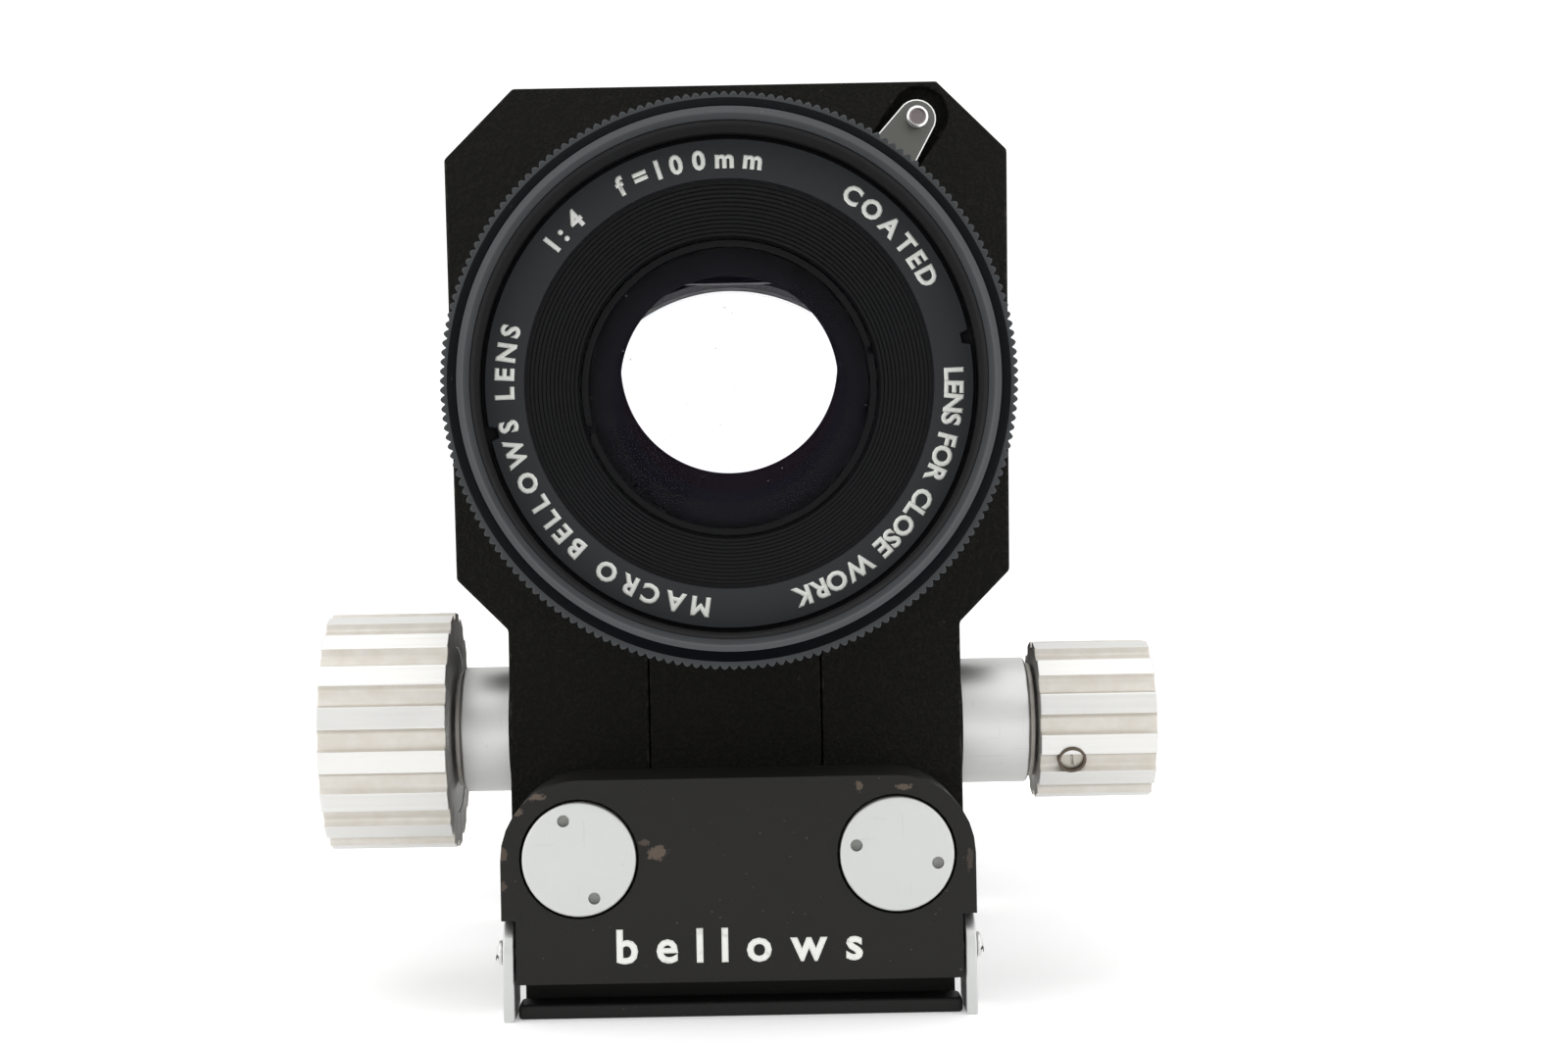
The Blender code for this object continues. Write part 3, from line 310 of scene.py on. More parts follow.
@dataclass(frozen=True)
class WornEnamel:
    """Satin black enamel, rubbed along its edges and chipped in places down to the metal."""

    chips: tuple = ()
    colour: tuple = (0.0135, 0.0129, 0.0118)
    bare: tuple = (0.16, 0.125, 0.1)

    def make(self, name: str) -> bpy.types.Material:
        """The enamel as a material; each chip is a place, its half sizes and how bare it is.

        Args:
            name: the material's name.

        Returns:
            The material.
        """
        graph = Graph(name)
        here = graph.coords()
        ragged = graph.noise(here, 1500.0, 5.0, 0.7)
        coarse = graph.noise(here, 420.0, 3.0)
        chipped = graph.mark("edge") * graph.step(ragged * 0.5 + coarse * 0.5, 0.6, 0.66)
        for place, halves, bareness in self.chips:
            stretch = tuple(1 / half for half in halves)
            away = graph.length(graph.coords(Vector(place), stretch))
            chip = graph.step(away * 0.8 + ragged * 1.9 + coarse * 0.8, 2.0, 1.84)
            chipped = chipped.at_least(chip * bareness)
        grain = graph.noise(here, 5200.0, 3.0)
        cloud = graph.noise(here, 90.0, 3.0)
        dark = tuple(0.62 * c for c in self.colour)
        enamel = graph.tint(cloud * 0.7 + grain * 0.3, dark, self.colour)
        dust = graph.step(graph.noise(here, 2100.0, 1.0), 0.77, 0.83)
        dusty = graph.tint(dust * 0.3, enamel, (0.2, 0.2, 0.19))
        metal = graph.tint(ragged, tuple(0.45 * c for c in self.bare), self.bare)
        colour = graph.tint(chipped, dusty, metal)
        rough = 0.4 + grain * 0.14 + cloud * 0.1
        normal = graph.bump(grain * 0.35 - chipped, 0.00004, 0.7)
        return graph.surface(
            Base_Color=colour, Roughness=rough, Metallic=chipped * 0.55, Normal=normal,
            Specular_IOR_Level=0.2,
        )


@dataclass(frozen=True)
class LensEnamel:
    """Bluish-black lens enamel over turned metal, with fine rings about the lens axis."""

    axis: tuple
    colour: tuple = (0.0125, 0.0155, 0.0195)
    roughness: float = 0.3
    gloss: float = 0.5

    def make(self, name: str) -> bpy.types.Material:
        """The enamel as a material.

        Args:
            name: the material's name.

        Returns:
            The material.
        """
        graph = Graph(name)
        here = graph.coords(Vector(self.axis))
        reach = graph.length(graph.coords(Vector(self.axis), Lay.ROUND_Y.value))
        rings = graph.lines(reach, 5200.0)
        smear = graph.noise(here, 110.0, 4.0)
        speck = graph.step(graph.noise(here, 1500.0, 1.0), 0.77, 0.82)
        dark = tuple(0.7 * c for c in self.colour)
        enamel = graph.tint(smear, dark, self.colour)
        lightened_edges = graph.mark("edge") * graph.step(graph.noise(here, 700.0, 3.0), 0.55, 0.72)
        colour = graph.tint(lightened_edges * 0.5 + speck * 0.25, enamel, (0.11, 0.115, 0.12))
        rough = self.roughness + smear * 0.1 + rings * 0.06
        normal = graph.bump(rings, 0.000006, 0.6)
        return graph.surface(
            Base_Color=colour, Roughness=rough, Normal=normal, Specular_IOR_Level=self.gloss,
        )


@dataclass(frozen=True)
class Machined:
    """Bare machined metal with its tool marks, fine scratches, specks of dirt, painted shade on faces
    marked as grooves, and a painted highlight on faces marked as edges where it has shine.
    """

    colour: tuple = (0.8, 0.8, 0.785)
    # the dark tint of the dirt specks and of the painted shade on faces marked as grooves
    grime_and_shade: tuple = (0.36, 0.3, 0.22)
    roughness: float = 0.34
    lay: Lay = Lay.SCRATCHED
    centre: tuple = (0.0, 0.0, 0.0)
    dirt: float = 0.25
    marks: float = 1.0
    metallic: float = 1.0
    # how much faces marked as edges are lightened: a painted highlight
    shine: float = 0.0

    def make(self, name: str) -> bpy.types.Material:
        """The metal as a material; faces marked as grooves on the mesh are darkened as painted shade, and
        faces marked as edges are lightened by its shine as a painted highlight.

        Args:
            name: the material's name.

        Returns:
            The material.
        """
        graph = Graph(name)
        here = graph.coords(Vector(self.centre))
        stretched = graph.coords(Vector(self.centre), self.lay.value)
        if self.lay.turned:
            cut = graph.lines(graph.length(stretched), 4200.0)
        else:
            cut = graph.noise(stretched, 2400.0, 3.0)
        cloud = graph.noise(here, 130.0, 4.0)
        hair = graph.noise(graph.coords(Vector(self.centre), (1.0, 1.0, 0.05)), 3100.0, 1.0)
        cross = graph.noise(graph.coords(Vector(self.centre), (0.06, 1.0, 0.9)), 2300.0, 1.0)
        scratch = graph.step(hair, 0.7, 0.76).at_least(graph.step(cross, 0.7, 0.76))
        speck = graph.step(graph.noise(here, 820.0, 2.0), 0.72, 0.78)
        dull = tuple(0.86 * c for c in self.colour)
        metal = graph.tint(cloud * 0.6 + cut * 0.4, dull, self.colour)
        # Painted shade: faces marked as grooves are darkened patchily towards the dark tint; the specks are
        # dirt.
        groove = graph.mark("groove") * (0.35 + graph.noise(here, 500.0, 4.0) * 0.9)
        off_tone = (groove * 0.55 + speck * self.dirt).at_least(scratch * 0.12)
        # Painted highlight: faces marked as edges are lightened by shine.
        lightened_edges = graph.tint(graph.mark("edge") * self.shine, metal, (0.85, 0.85, 0.83))
        colour = graph.tint(off_tone, lightened_edges, self.grime_and_shade)
        rough = self.roughness + cloud * 0.12 + cut * 0.08 * self.marks + groove * 0.18
        normal = graph.bump(cut - scratch * 0.6, 0.000008 * self.marks, 0.7)
        return graph.surface(Base_Color=colour, Roughness=rough, Metallic=self.metallic, Normal=normal)


@dataclass(frozen=True)
class BellowsCloth:
    """Black coated cloth with a fine weave, greyed and rubbed along the folds."""

    colour: tuple = (0.012, 0.012, 0.0118)
    weave: float = 3800.0

    def make(self, name: str) -> bpy.types.Material:
        """The cloth as a material.

        Args:
            name: the material's name.

        Returns:
            The material.
        """
        graph = Graph(name)
        here = graph.coords()
        waves = [
            graph.add("TexWave", {"bands_direction": way}, {"Vector": here, "Scale": self.weave / 20})
            for way in ("X", "Z")
        ]
        threads = waves[0] * 0.5 + waves[1] * 0.5
        grain = graph.noise(here, self.weave, 3.0)
        cloud = graph.noise(here, 140.0, 3.0)
        fold = graph.mark("fold") * graph.step(graph.noise(here, 600.0, 3.0), 0.35, 0.75)
        cloth = graph.tint(grain * 0.5 + cloud * 0.5, tuple(0.5 * c for c in self.colour), self.colour)
        colour = graph.tint(fold * 0.5, cloth, (0.06, 0.058, 0.054))
        rough = 0.62 + grain * 0.2 - fold * 0.12
        normal = graph.bump(threads * 0.5 + grain, 0.00005, 0.6)
        return graph.surface(Base_Color=colour, Roughness=rough, Normal=normal, Specular_IOR_Level=0.3)


@dataclass(frozen=True)
class MatteBaffle:
    """Matt black that swallows stray light, with faint turning rings about the lens axis."""

    axis: tuple
    colour: tuple = (0.0052, 0.0054, 0.0062)
    specular: float = 0.16

    def make(self, name: str) -> bpy.types.Material:
        """The coating as a material.

        Args:
            name: the material's name.

        Returns:
            The material.
        """
        graph = Graph(name)
        here = graph.coords(Vector(self.axis))
        reach = graph.length(graph.coords(Vector(self.axis), Lay.ROUND_Y.value))
        rings = graph.lines(reach, 2600.0)
        grain = graph.noise(here, 3600.0, 2.0)
        colour = graph.tint(rings * 0.5 + grain * 0.5, tuple(0.6 * c for c in self.colour), self.colour)
        normal = graph.bump(rings + grain, 0.00001, 0.5)
        return graph.surface(
            Base_Color=colour, Roughness=0.5 + grain * 0.2, Normal=normal,
            Specular_IOR_Level=self.specular,
        )


@dataclass(frozen=True)
class Anodised:
    """Dark blue-grey anodising on a fine-turned ring."""

    axis: tuple
    colour: tuple = (0.0175, 0.0196, 0.0225)

    def make(self, name: str) -> bpy.types.Material:
        """The anodising as a material; the marked bevels are darker: painted shade at the ring's edges.

        Args:
            name: the material's name.

        Returns:
            The material.
        """
        graph = Graph(name)
        here = graph.coords(Vector(self.axis))
        reach = graph.length(graph.coords(Vector(self.axis), Lay.ROUND_Y.value))
        rings = graph.lines(reach, 6400.0)
        cloud = graph.noise(here, 160.0, 3.0)
        base = graph.tint(cloud, tuple(0.8 * c for c in self.colour), self.colour)
        # Painted shade: the bevels take a darker copy of the anodising.
        colour = graph.tint(graph.mark("edge"), base, (0.008, 0.008, 0.0105))
        normal = graph.bump(rings, 0.000005, 0.6)
        return graph.surface(
            Base_Color=colour, Roughness=0.4 + cloud * 0.12 + rings * 0.05, Normal=normal,
            Specular_IOR_Level=0.28,
        )


@dataclass(frozen=True)
class EngravingFill:
    """Off-white paint wiped into engraved letters, a little uneven."""

    colour: tuple = (0.74, 0.75, 0.71)
    off_tone: tuple = (0.42, 0.4, 0.36)

    def make(self, name: str) -> bpy.types.Material:
        """The paint as a material.

        Args:
            name: the material's name.

        Returns:
            The material.
        """
        graph = Graph(name)
        here = graph.coords()
        grain = graph.noise(here, 2600.0, 4.0)
        wear = graph.step(graph.noise(here, 900.0, 3.0), 0.55, 0.75)
        colour = graph.tint(wear * 0.5 + grain * 0.12, self.colour, self.off_tone)
        normal = graph.bump(grain, 0.00001, 0.5)
        return graph.surface(Base_Color=colour, Roughness=0.5 + grain * 0.2, Normal=normal)


@dataclass(frozen=True)
class CoatedGlass:
    """Polished glass with a thin violet-blue coating and a few dust specks."""

    colour: tuple = (0.985, 0.985, 1.0)

    def make(self, name: str) -> bpy.types.Material:
        """The glass as a material.

        Args:
            name: the material's name.

        Returns:
            The material.
        """
        graph = Graph(name)
        here = graph.coords()
        dust = graph.step(graph.noise(here, 1300.0, 1.0), 0.785, 0.81)
        colour = graph.tint(dust, self.colour, (0.5, 0.5, 0.52))
        return graph.surface(
            Base_Color=colour, Roughness=dust * 0.35, Transmission_Weight=1.0, IOR=1.1,
            Specular_IOR_Level=0.4, Specular_Tint=(0.62, 0.5, 1.0),
        )


@dataclass(frozen=True)
class StudioPaper:
    """Smooth pale paper."""

    colour: tuple = (0.9, 0.9, 0.9)
    lift: float = 0.22

    def make(self, name: str) -> bpy.types.Material:
        """The paper as a material.

        Args:
            name: the material's name.

        Returns:
            The material.
        """
        graph = Graph(name)
        fibre = graph.noise(graph.coords(), 900.0, 4.0)
        colour = graph.tint(fibre, tuple(0.99 * c for c in self.colour), self.colour)
        return graph.surface(
            Base_Color=colour, Roughness=0.75, Specular_IOR_Level=0.1, Emission_Color=(1.0, 1.0, 1.0, 1.0),
            Emission_Strength=self.lift,
        )


# ---------------------------------------------------------------------- shapes


def filleted(points: list, steps: int = 4) -> list:
    """Rounds the corners of a closed profile.

    Args:
        points: (radius, height) pairs, or (radius, height, fillet) where a corner is rounded.
        steps: how many chords each rounded corner gets.

    Returns:
        The profile as (radius, height) pairs.
    """
    result = []
    for index, (radius, height, *rest) in enumerate(points):
        here = Vector((radius, height))
        if not rest:
            result.append((radius, height))
            continue
        before = (Vector(points[index - 1][:2]) - here).normalized()
        after = (Vector(points[(index + 1) % len(points)][:2]) - here).normalized()
        half = before.angle(after) / 2
        middle = here + (before + after).normalized() * rest[0] / math.sin(half)
        first = here + before * rest[0] / math.tan(half) - middle
        last = here + after * rest[0] / math.tan(half) - middle
        for step in range(steps + 1):
            way = first.normalized().slerp(last.normalized(), step / steps)
            spot = middle + way * first.length
            result.append((spot.x, spot.y))
    return result


def around(count: int, reach: Callable[[float], float]) -> list:
    """Sets points round a closed outline.

    Args:
        count: how many points.
        reach: the outline's distance from its middle at an angle in radians.

    Returns:
        The (x, y) points.
    """
    angles = [math.tau * index / count for index in range(count)]
    return [(reach(angle) * math.cos(angle), reach(angle) * math.sin(angle)) for angle in angles]


def gap_between(first: float, second: float) -> float:
    """The smallest turn between two angles, in radians."""
    return abs((first - second + math.pi) % math.tau - math.pi)


class Form:
    """A mesh in the making, in the frame's own axes."""

    def __init__(self) -> None:
        """Starts empty, with the marks that finishes read."""
        self.mesh = bmesh.new()
        self.marks = {name: self.mesh.faces.layers.float.new(name) for name in ("edge", "groove", "fold")}

    @classmethod
    def of_node(cls, node: str) -> "Form":
        """A merged copy of a CAD node, with its flat faces whole.

        Args:
            node: the CAD node.

        Returns:
            The form.
        """
        form = cls()
        form.mesh.from_mesh(frame["nodes"][node].data)
        form.marks = {name: form.mesh.faces.layers.float[name] for name in form.marks}
        bmesh.ops.remove_doubles(form.mesh, verts=form.mesh.verts, dist=2 * MERGE)
        bmesh.ops.dissolve_limit(
            form.mesh, angle_limit=math.radians(0.5), verts=form.mesh.verts, edges=form.mesh.edges
        )
        return form

    def lathe(self, profile: list, centre: Vector, axis: Vector, steps: int = 128) -> list:
        """Spins a closed (radius, height) profile about an axis.

        Args:
            profile: the outline, with heights measured along the axis.
            centre: where the height is zero.
            axis: the way heights grow.
            steps: how many sides the turned piece has.

        Returns:
            The new faces.
        """
        before = set(self.mesh.faces)
        across = RIGHT if abs(axis.x) < 0.5 else UP
        spots = [centre + across * radius + axis * height for radius, height in profile]
        verts = [self.mesh.verts.new(spot) for spot in spots]
        edges = [self.mesh.edges.new((verts[i - 1], verts[i])) for i in range(len(verts))]
        bmesh.ops.spin(
            self.mesh, geom=verts + edges, cent=centre, axis=axis, angle=math.tau, steps=steps,
            use_merge=True, use_duplicate=False,
        )
        return self._settle(before)

    def plate(self, loops: list, matrix: Matrix, thick: float) -> list:
        """A flat plate with holes.

        Args:
            loops: the outline first and then each hole, as (x, y) points.
            matrix: puts the outline's x, y and its normal z in the frame.
            thick: how far the plate reaches along its normal.

        Returns:
            The new faces.
        """
        before = set(self.mesh.faces)
        edges = []
        for loop in loops:
            verts = [self.mesh.verts.new(matrix @ Vector((x, y, 0))) for x, y in loop]
            edges += [self.mesh.edges.new((verts[i - 1], verts[i])) for i in range(len(verts))]
        bmesh.ops.triangle_fill(self.mesh, use_beauty=True, use_dissolve=False, edges=edges)
        flat = [face for face in self.mesh.faces if face not in before]
        grown = bmesh.ops.extrude_face_region(self.mesh, geom=flat, use_keep_orig=True)
        verts = [item for item in grown["geom"] if isinstance(item, bmesh.types.BMVert)]
        bmesh.ops.translate(self.mesh, verts=verts, vec=matrix.to_3x3() @ Vector((0, 0, thick)))
        return self._settle(before)

    def block(self, low: Vector, high: Vector) -> list:
        """A box between two corners.

        Args:
            low: the corner with the least coordinates.
            high: the corner with the greatest.

        Returns:
            The new faces.
        """
        before = set(self.mesh.faces)
        cube = bmesh.ops.create_cube(self.mesh, size=1)
        bmesh.ops.scale(self.mesh, vec=high - low, verts=cube["verts"])
        bmesh.ops.translate(self.mesh, vec=(low + high) / 2, verts=cube["verts"])
        return self._settle(before)

    def _settle(self, before: set) -> list:
        """Closes seams among the new faces and turns them outwards.

        Args:
            before: the faces that were there already.

        Returns:
            The new faces.
        """
        fresh = [face for face in self.mesh.faces if face not in before]
        verts = list({vert for face in fresh for vert in face.verts})
        bmesh.ops.remove_doubles(self.mesh, verts=verts, dist=MERGE)
        bare = [edge for edge in self.mesh.edges if not edge.link_faces]
        bmesh.ops.delete(self.mesh, geom=bare, context="EDGES")
        fresh = [face for face in self.mesh.faces if face not in before]
        bmesh.ops.recalc_face_normals(self.mesh, faces=fresh)
        return fresh

    def soften(self, width: float, segments: int = 2, sharper: float = 30.0,
               among: list | None = None) -> None:
        """Bevels sharp edges and marks the bevels.

        Args:
            width: the bevel's offset.
            segments: how many strips it has.
            sharper: the least angle of an edge that is bevelled, in degrees.
            among: the faces whose edges are looked at, or None for all.
        """
        limit = math.radians(sharper)
        edges = self.mesh.edges if among is None else {edge for face in among for edge in face.edges}
        sharp = [edge for edge in edges if edge.is_manifold and edge.calc_face_angle() > limit]
        made = bmesh.ops.bevel(
            self.mesh, geom=sharp, offset=width, offset_type="OFFSET", affect="EDGES",
            segments=segments, profile=0.5, material=-1, clamp_overlap=True, loop_slide=True,
        )
        for face in made["faces"]:
            face[self.marks["edge"]] = 1.0

    def mark(self, name: str, chosen: Callable[[Vector, Vector], bool]) -> None:
        """Marks the faces that a test chooses.

        Args:
            name: the mark to set.
            chosen: the test of a face's centre and normal.
        """
        for face in self.mesh.faces:
            if chosen(face.calc_center_median(), face.normal):
                face[self.marks[name]] = 1.0

    def stamp(self, mesh: bpy.types.Mesh, matrix: Matrix) -> None:
        """Adds a ready mesh at a place.

        Args:
            mesh: the ready mesh, which is used up.
            matrix: where it goes.
        """
        mesh.transform(matrix)
        self.mesh.from_mesh(mesh)
        self.marks = {name: self.mesh.faces.layers.float[name] for name in self.marks}
        bpy.data.meshes.remove(mesh)

    def piece(self, name: str, materials: list) -> bpy.types.Object:
        """Ends the work.

        Args:
            name: the piece's name.
            materials: its materials, in the order of the faces' indices.

        Returns:
            The object, at the origin.
        """
        edge_mark = self.marks["edge"]
        for edge in self.mesh.edges:
            if edge.is_manifold:
                first, second = (face[edge_mark] for face in edge.link_faces)
                edge.smooth = first == second and edge.calc_face_angle() < SHARP
        mesh = bpy.data.meshes.new(name)
        self.mesh.to_mesh(mesh)
        self.mesh.free()
        for material in materials:
            mesh.materials.append(material)
        mesh.polygons.foreach_set("use_smooth", [True] * len(mesh.polygons))
        item = bpy.data.objects.new(name, mesh)
        bpy.context.scene.collection.objects.link(item)
        return item


def glyph(text: str, size: float, depth: float, weight: float = 0.0) -> bpy.types.Mesh:
    """Letters as a mesh.

    Args:
        text: what it says.
        size: the font's size.
        depth: how far the letters stand out to each side of their plane.
        weight: how much their strokes are thickened.

    Returns:
        The mesh, centred on its own width, standing on its baseline.
    """
    curve = bpy.data.curves.new("letters", "FONT")
    curve.body = text
    curve.size = size
    curve.extrude = depth
    curve.bevel_depth = weight
    curve.bevel_resolution = 0
    curve.resolution_u = 3
    curve.align_x = "CENTER"
    holder = bpy.data.objects.new("letters", curve)
    bpy.context.scene.collection.objects.link(holder)
    bpy.context.view_layer.update()
    graph = bpy.context.evaluated_depsgraph_get()
    mesh = bpy.data.meshes.new_from_object(holder.evaluated_get(graph))
    bpy.data.objects.remove(holder)
    bpy.data.curves.remove(curve)
    mesh.materials.clear()
    work = bmesh.new()
    work.from_mesh(mesh)
    bmesh.ops.remove_doubles(work, verts=work.verts, dist=MERGE)
    bmesh.ops.recalc_face_normals(work, faces=work.faces)
    work.to_mesh(mesh)
    work.free()
    return mesh


def breadth(mesh: bpy.types.Mesh) -> tuple:
    """The left end and the width of a mesh."""
    reach = [vert.co.x for vert in mesh.vertices]
    return min(reach), max(reach) - min(reach)


def axes(x: Vector, y: Vector, origin: Vector) -> Matrix:
    """A matrix whose columns are x, y, their cross product and an origin.

    Args:
        x: the first axis.
        y: the second axis.
        origin: the place of the zero point.

    Returns:
        The matrix.
    """
    z = x.cross(y)
    return Matrix((
        (x.x, y.x, z.x, origin.x),
        (x.y, y.y, z.y, origin.y),
        (x.z, y.z, z.z, origin.z),
        (0, 0, 0, 1),
    ))


@dataclass(frozen=True)
class Span:
    """The room that a CAD node takes."""

    low: Vector
    high: Vector

    @classmethod
    def of(cls, node: str) -> "Span":
        """The box of a node."""
        return cls(*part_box(node))

    @property
    def centre(self) -> Vector:
        """Its middle."""
        return (self.low + self.high) / 2

    @property
    def size(self) -> Vector:
        """Its edges."""
        return self.high - self.low


class Workshop:
    """Hands finished pieces to the frame."""

    def __init__(self) -> None:
        """Starts with nothing fitted."""
        self.fitted = 0

    def fit(self, form: Form, name: str, body: str, materials: list,
            nodes: tuple = ()) -> bpy.types.Object:
        """Turns a form into a piece that rides on a body.

        Args:
            form: the finished form.
            name: the piece's name.
            body: the body that it moves with.
            materials: the piece's materials.
            nodes: the CAD nodes that it stands for.

        Returns:
            The piece.
        """
        piece = form.piece(name, materials)
        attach(piece, body)
        if nodes:
            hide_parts(*nodes)
        self.fitted += 1
        LOG.info("%s rides on %s, %d faces", name, body, len(piece.data.polygons))
        return piece

    def dress(self, node: str, material: bpy.types.Material) -> None:
        """Gives a carried-over CAD node its material.

        Args:
            node: the CAD node.
            material: what it is dressed in.
        """
        data = frame["nodes"][node].data
        data.materials.clear()
        data.materials.append(material)
        data.polygons.foreach_set("material_index", [0] * len(data.polygons))
        LOG.info("%s keeps its CAD shape", node)

    def finish_node(self, node: str, body: str, material: bpy.types.Material,
                    width: float, segments: int = 2) -> bpy.types.Object:
        """Replaces a node with a copy whose sharp edges are rounded.

        Args:
            node: the CAD node.
            body: the body it is on.
            material: the copy's material.
            width: how wide its rounded edges are.
            segments: how many strips each has.

        Returns:
            The new piece.
        """
        form = Form.of_node(node)
        form.soften(width, segments)
        return self.fit(form, f"{node}_finished", body, [material], (node,))


# ------------------------------------------------------------------------ lens


@dataclass
class Lens:
    """The short-mount lens: heights are measured forward from its mounting flange."""

    rim_back: float = 0.0323
    rim_front: float = 0.035
    rim_outer: float = 0.0302
    bezel_crest: float = 0.0291
    band_inner: float = 0.0278
    thread_outer: float = 0.0277
    thread_inner: float = 0.02735
    thread_top: float = 0.0334
    thread_bottom: float = 0.0262
    thread_pitch: float = 0.00075
    name_seat: float = 0.0243
    cone_bore: float = 0.0245
    glass_seat: float = 0.0168
    waist: float = 0.0284
    ring_back: float = 0.0176
    body_rear: float = 0.0306
    knurl_outer: float = 0.03115
    knurl_depth: float = 0.0005
    knurl_teeth: int = 190
    knurl_back: float = 0.0246
    band_outer: float = 0.0302
    name_outer: float = 0.027
    name_inner: float = 0.0225
    name_front: float = 0.0258
    name_bevel: float = 0.0007
    letter_radius: float = 0.02376
    letter_size: float = 0.00285
    letter_weight: float = 0.00012
    letter_proud: float = 0.00003
    letter_blank: float = 0.0009
    letter_middle: float = 0.0011
    cone_steps: int = 13
    cone_foot: float = 0.0171
    glass_radius: float = 0.0166
    glass_back: float = 0.0123
    glass_bulge: float = 0.0028
    glass_edge: float = 0.0028
    stop_height: float = 0.0104
    stop_wide: tuple = (-0.0005, 0.0013, 0.0131)
    stop_narrow: tuple = (0.0, 0.0029, 0.01236)
    stop_outer: float = 0.0194
    bezel_band: float = 0.0011
    clear: float = 0.0003
    sides: int = 192

    def __post_init__(self) -> None:
        """Finds the lens axis and flange in the frame."""
        span = Span.of("lens_barrel")
        self.flange = Vector((span.centre.x, span.low.y + self.rim_front, span.centre.z))
        place = tuple(self.flange)
        self.enamel = LensEnamel(place, (0.034, 0.0375, 0.0415), 0.36, 0.6).make("lens_enamel")
        # Painted shade: the bezel's outer rim and chamfer take a near-black copy of the enamel with almost
        # no gloss, and the filter thread's recess takes a darker, duller copy.
        self.shaded_bezel = LensEnamel(place, (0.0012, 0.0016, 0.0026), 0.5, 0.02).make("bezel_shaded_enamel")
        self.well = LensEnamel(place, (0.0085, 0.0085, 0.0095), 0.42, 0.2).make("filter_thread_shaded_enamel")
        self.knurl_enamel = LensEnamel(place, (0.034, 0.039, 0.043), 0.42, 0.45).make("knurl_enamel")
        self.baffle = MatteBaffle(place).make("cone_matt_black")
        self.fill = EngravingFill().make("engraving_white")

    def front_place(self, angle: float, reach: float, height: float) -> Matrix:
        """Where a mark stands on the lens's front, its foot towards the axis.

        Args:
            angle: the angle about the axis, in radians.
            reach: the distance from the axis.
            height: how far forward of the flange.

        Returns:
            The matrix of the place.
        """
        out = Vector((math.cos(angle), 0, math.sin(angle)))
        clockwise = Vector((math.sin(angle), 0, -math.cos(angle)))
        return axes(clockwise, out, self.flange + FRONT * height + out * reach)

    def side_place(self, angle: float, reach: float, height: float) -> Matrix:
        """Where a mark stands on the lens's side, its top towards the front."""
        out = Vector((math.cos(angle), 0, math.sin(angle)))
        return axes(FRONT.cross(out), FRONT, self.flange + FRONT * height + out * reach)

    def build(self, shop: Workshop) -> None:
        """Makes every piece of the lens.

        Args:
            shop: takes the finished pieces.
        """
        self.build_barrel(shop)
        self.build_aperture_ring(shop)
        self.build_name_ring(shop)
        self.build_cone(shop)
        self.build_glass(shop)
        self.build_rear(shop)

    def build_barrel(self, shop: Workshop) -> None:
        """The barrel with its bezel, filter thread and index line.

        Args:
            shop: takes the finished pieces.
        """
        profile = [
            (self.rim_outer, self.rim_back),
            (self.rim_outer, self.rim_back + self.bezel_band, 0.0002),
            (self.bezel_crest, self.rim_front, 0.00012),
            (self.bezel_crest - 0.0007, self.rim_front - 0.00016, 0.0006),
            (self.thread_outer, self.rim_front - self.bezel_band, 0.0003),
            (self.thread_outer, self.thread_top),
        ]
        turns = int((self.thread_top - self.thread_bottom) / self.thread_pitch)
        for turn in range(turns):
            top = self.thread_top - turn * self.thread_pitch
            profile.append((self.thread_inner, top - 0.4 * self.thread_pitch))
            profile.append((self.thread_outer, top - 0.9 * self.thread_pitch))
        profile += [
            (self.thread_inner, self.thread_bottom - 0.0002),
            (self.thread_inner, self.name_seat),
            (self.cone_bore, self.name_seat),
            (self.cone_bore, self.glass_seat),
            (self.glass_radius + 0.0004, self.glass_seat),
            (self.glass_radius + 0.0004, self.glass_back - 0.0012),
            (0.020, self.glass_back - 0.0012),
            (0.020, 0.0003),
            (0.0258, 0.0003, 0.0002),
            (self.body_rear, 0.005, 0.0012),
            (self.body_rear, 0.0102, 0.0002),
            (self.body_rear - 0.0007, 0.0105),
            (self.body_rear - 0.0007, 0.0115),
            (self.body_rear, 0.0118, 0.0002),
            (self.body_rear, self.ring_back, 0.0003),
            (self.waist, self.ring_back),
            (self.waist, self.rim_back),
        ]
        form = Form()
        form.lathe(filleted(profile), self.flange, FRONT, self.sides)
        # Painted shade: faces of the outer rim and chamfer take the near-black copy, and faces inside the
        # band take the darker copy of the thread recess.
        for face in form.mesh.faces:
            away = face.calc_center_median() - self.flange
            reach = Vector((away.x, 0, away.z)).length
            if -away.y > self.name_seat:
                on_chamfer = reach > self.bezel_crest - 0.0001
                face.material_index = 1 if on_chamfer else 2 * (reach < self.band_inner)
        shop.fit(form, "barrel_and_bezel", "lens", [self.enamel, self.shaded_bezel, self.well],
                 ("lens_barrel",))
        index = Form()
        low = Vector((-0.00022, -0.0002, 0))
        index.block(low, Vector((0.00022, 0.0026, 0.00004)))
        bmesh.ops.transform(
            index.mesh, matrix=self.side_place(math.pi / 2, self.body_rear, 0.0142), verts=index.mesh.verts
        )
        shop.fit(index, "aperture_index_line", "lens", [self.fill])

